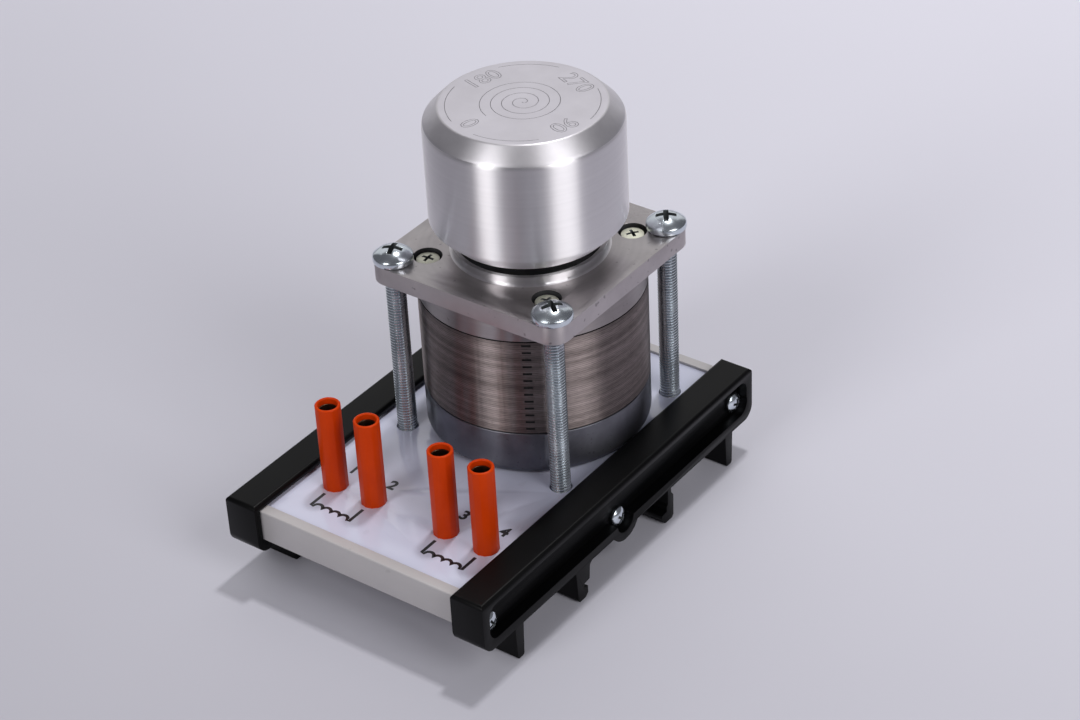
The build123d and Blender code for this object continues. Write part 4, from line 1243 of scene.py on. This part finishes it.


def pale_towards_back(material):
    """Paint the studio light's falloff into the floor's paper: a little paler from front to back."""
    tree = material.node_tree
    shader = tree.nodes["Principled BSDF"]
    plain = shader.inputs["Base Color"].links[0].from_socket
    along = split(tree, wired(tree, "ShaderNodeTexCoord", {})["Object"])[1]
    gain = spread(tree, along, -FALLOFF_REACH, FALLOFF_REACH, *FALLOFF_GAIN)
    feed(tree, shader.inputs["Base Color"], mixed(tree, 1.0, plain, gain, "MULTIPLY"))


def floor():
    """A wide pale floor with a faint unevenness and a painted light falloff."""
    half = FLOOR_HALF
    corners = [(-half, -half, 0), (half, -half, 0), (half, half, 0), (-half, half, 0)]
    mesh = bpy.data.meshes.new("floor")
    mesh.from_pydata(corners, [], [(0, 1, 2, 3)])
    material = finish(
        "Pale floor", (0.62, 0.61, 0.68), (0.60, 0.59, 0.66), 0.5,
        patch=3, grain=400, grain_depth=0.01 * MM, specular=0.3,
    )
    # Painted light: the floor gets paler towards the back, standing in for the light's falloff.
    pale_towards_back(material)
    made = new_object("floor", mesh, material)
    shift(made, (0, 0, -FLOOR_DROP))


floor()

SUBJECT = Vector((0.0, 0.0, 0.05))
# Name, azimuth from +X and elevation in degrees, distance, width and height in metres, power in watts
LIGHTS = (
    ("left softbox", -98, 34, 1.3, 0.42, 0.9, 5.7),
    ("right softbox", -10, 33, 1.3, 0.62, 0.9, 6.9),
    ("key light", 97, 72.5, 1.5, 0.12, 0.12, 7.6),
    ("back card", 128, 30, 1.6, 2.6, 1.6, 7.6),
)
WORLD_COLOUR = (0.93, 0.92, 1.0, 1.0)
WORLD_STRENGTH = 0.142


def softbox(name, azimuth, elevation, distance, width, height, power):
    """A rectangular light that faces the subject."""
    turn = math.radians(azimuth)
    rise = math.radians(elevation)
    away = Vector((math.cos(turn) * math.cos(rise), math.sin(turn) * math.cos(rise), math.sin(rise)))
    lamp = bpy.data.lights.new(name, "AREA")
    lamp.shape = "RECTANGLE"
    lamp.size = width
    lamp.size_y = height
    lamp.energy = power
    item = bpy.data.objects.new(name, lamp)
    bpy.context.scene.collection.objects.link(item)
    item.location = SUBJECT + away * distance
    item.rotation_euler = away.to_track_quat("Z", "Y").to_euler()


for light in LIGHTS:
    softbox(*light)

world = bpy.data.worlds.new("studio")
world.use_nodes = True
backdrop = world.node_tree.nodes["Background"]
backdrop.inputs["Color"].default_value = WORLD_COLOUR
backdrop.inputs["Strength"].default_value = WORLD_STRENGTH
bpy.context.scene.world = world
bpy.context.scene.view_settings.view_transform = "Standard"

CAMERA_PLACE = (0.347226, -0.427761, 0.420398)
CAMERA_AZIMUTH = math.radians(37.820)
CAMERA_ELEVATION = math.radians(34.348)
CAMERA_ROLL = math.radians(-3.104)
CAMERA_LENS = 91.61
CAMERA_SENSOR = 36.0
CAMERA_CLIP = (0.05, 20.0)


def camera():
    """The photograph's viewpoint."""
    flat = math.cos(CAMERA_ELEVATION)
    x = math.sin(CAMERA_AZIMUTH) * flat
    y = -math.cos(CAMERA_AZIMUTH) * flat
    back = Vector((x, y, math.sin(CAMERA_ELEVATION)))
    right = Vector((math.cos(CAMERA_AZIMUTH), math.sin(CAMERA_AZIMUTH), 0.0))
    up = back.cross(right)
    side = math.cos(CAMERA_ROLL) * right + math.sin(CAMERA_ROLL) * up
    top = -math.sin(CAMERA_ROLL) * right + math.cos(CAMERA_ROLL) * up
    lens = bpy.data.cameras.new("camera")
    lens.lens = CAMERA_LENS
    lens.sensor_width = CAMERA_SENSOR
    lens.sensor_fit = "HORIZONTAL"
    lens.clip_start, lens.clip_end = CAMERA_CLIP
    item = bpy.data.objects.new("camera", lens)
    bpy.context.scene.collection.objects.link(item)
    turn = Matrix((side, top, back)).transposed().to_4x4()
    item.matrix_world = Matrix.Translation(CAMERA_PLACE) @ turn
    bpy.context.scene.camera = item


camera()
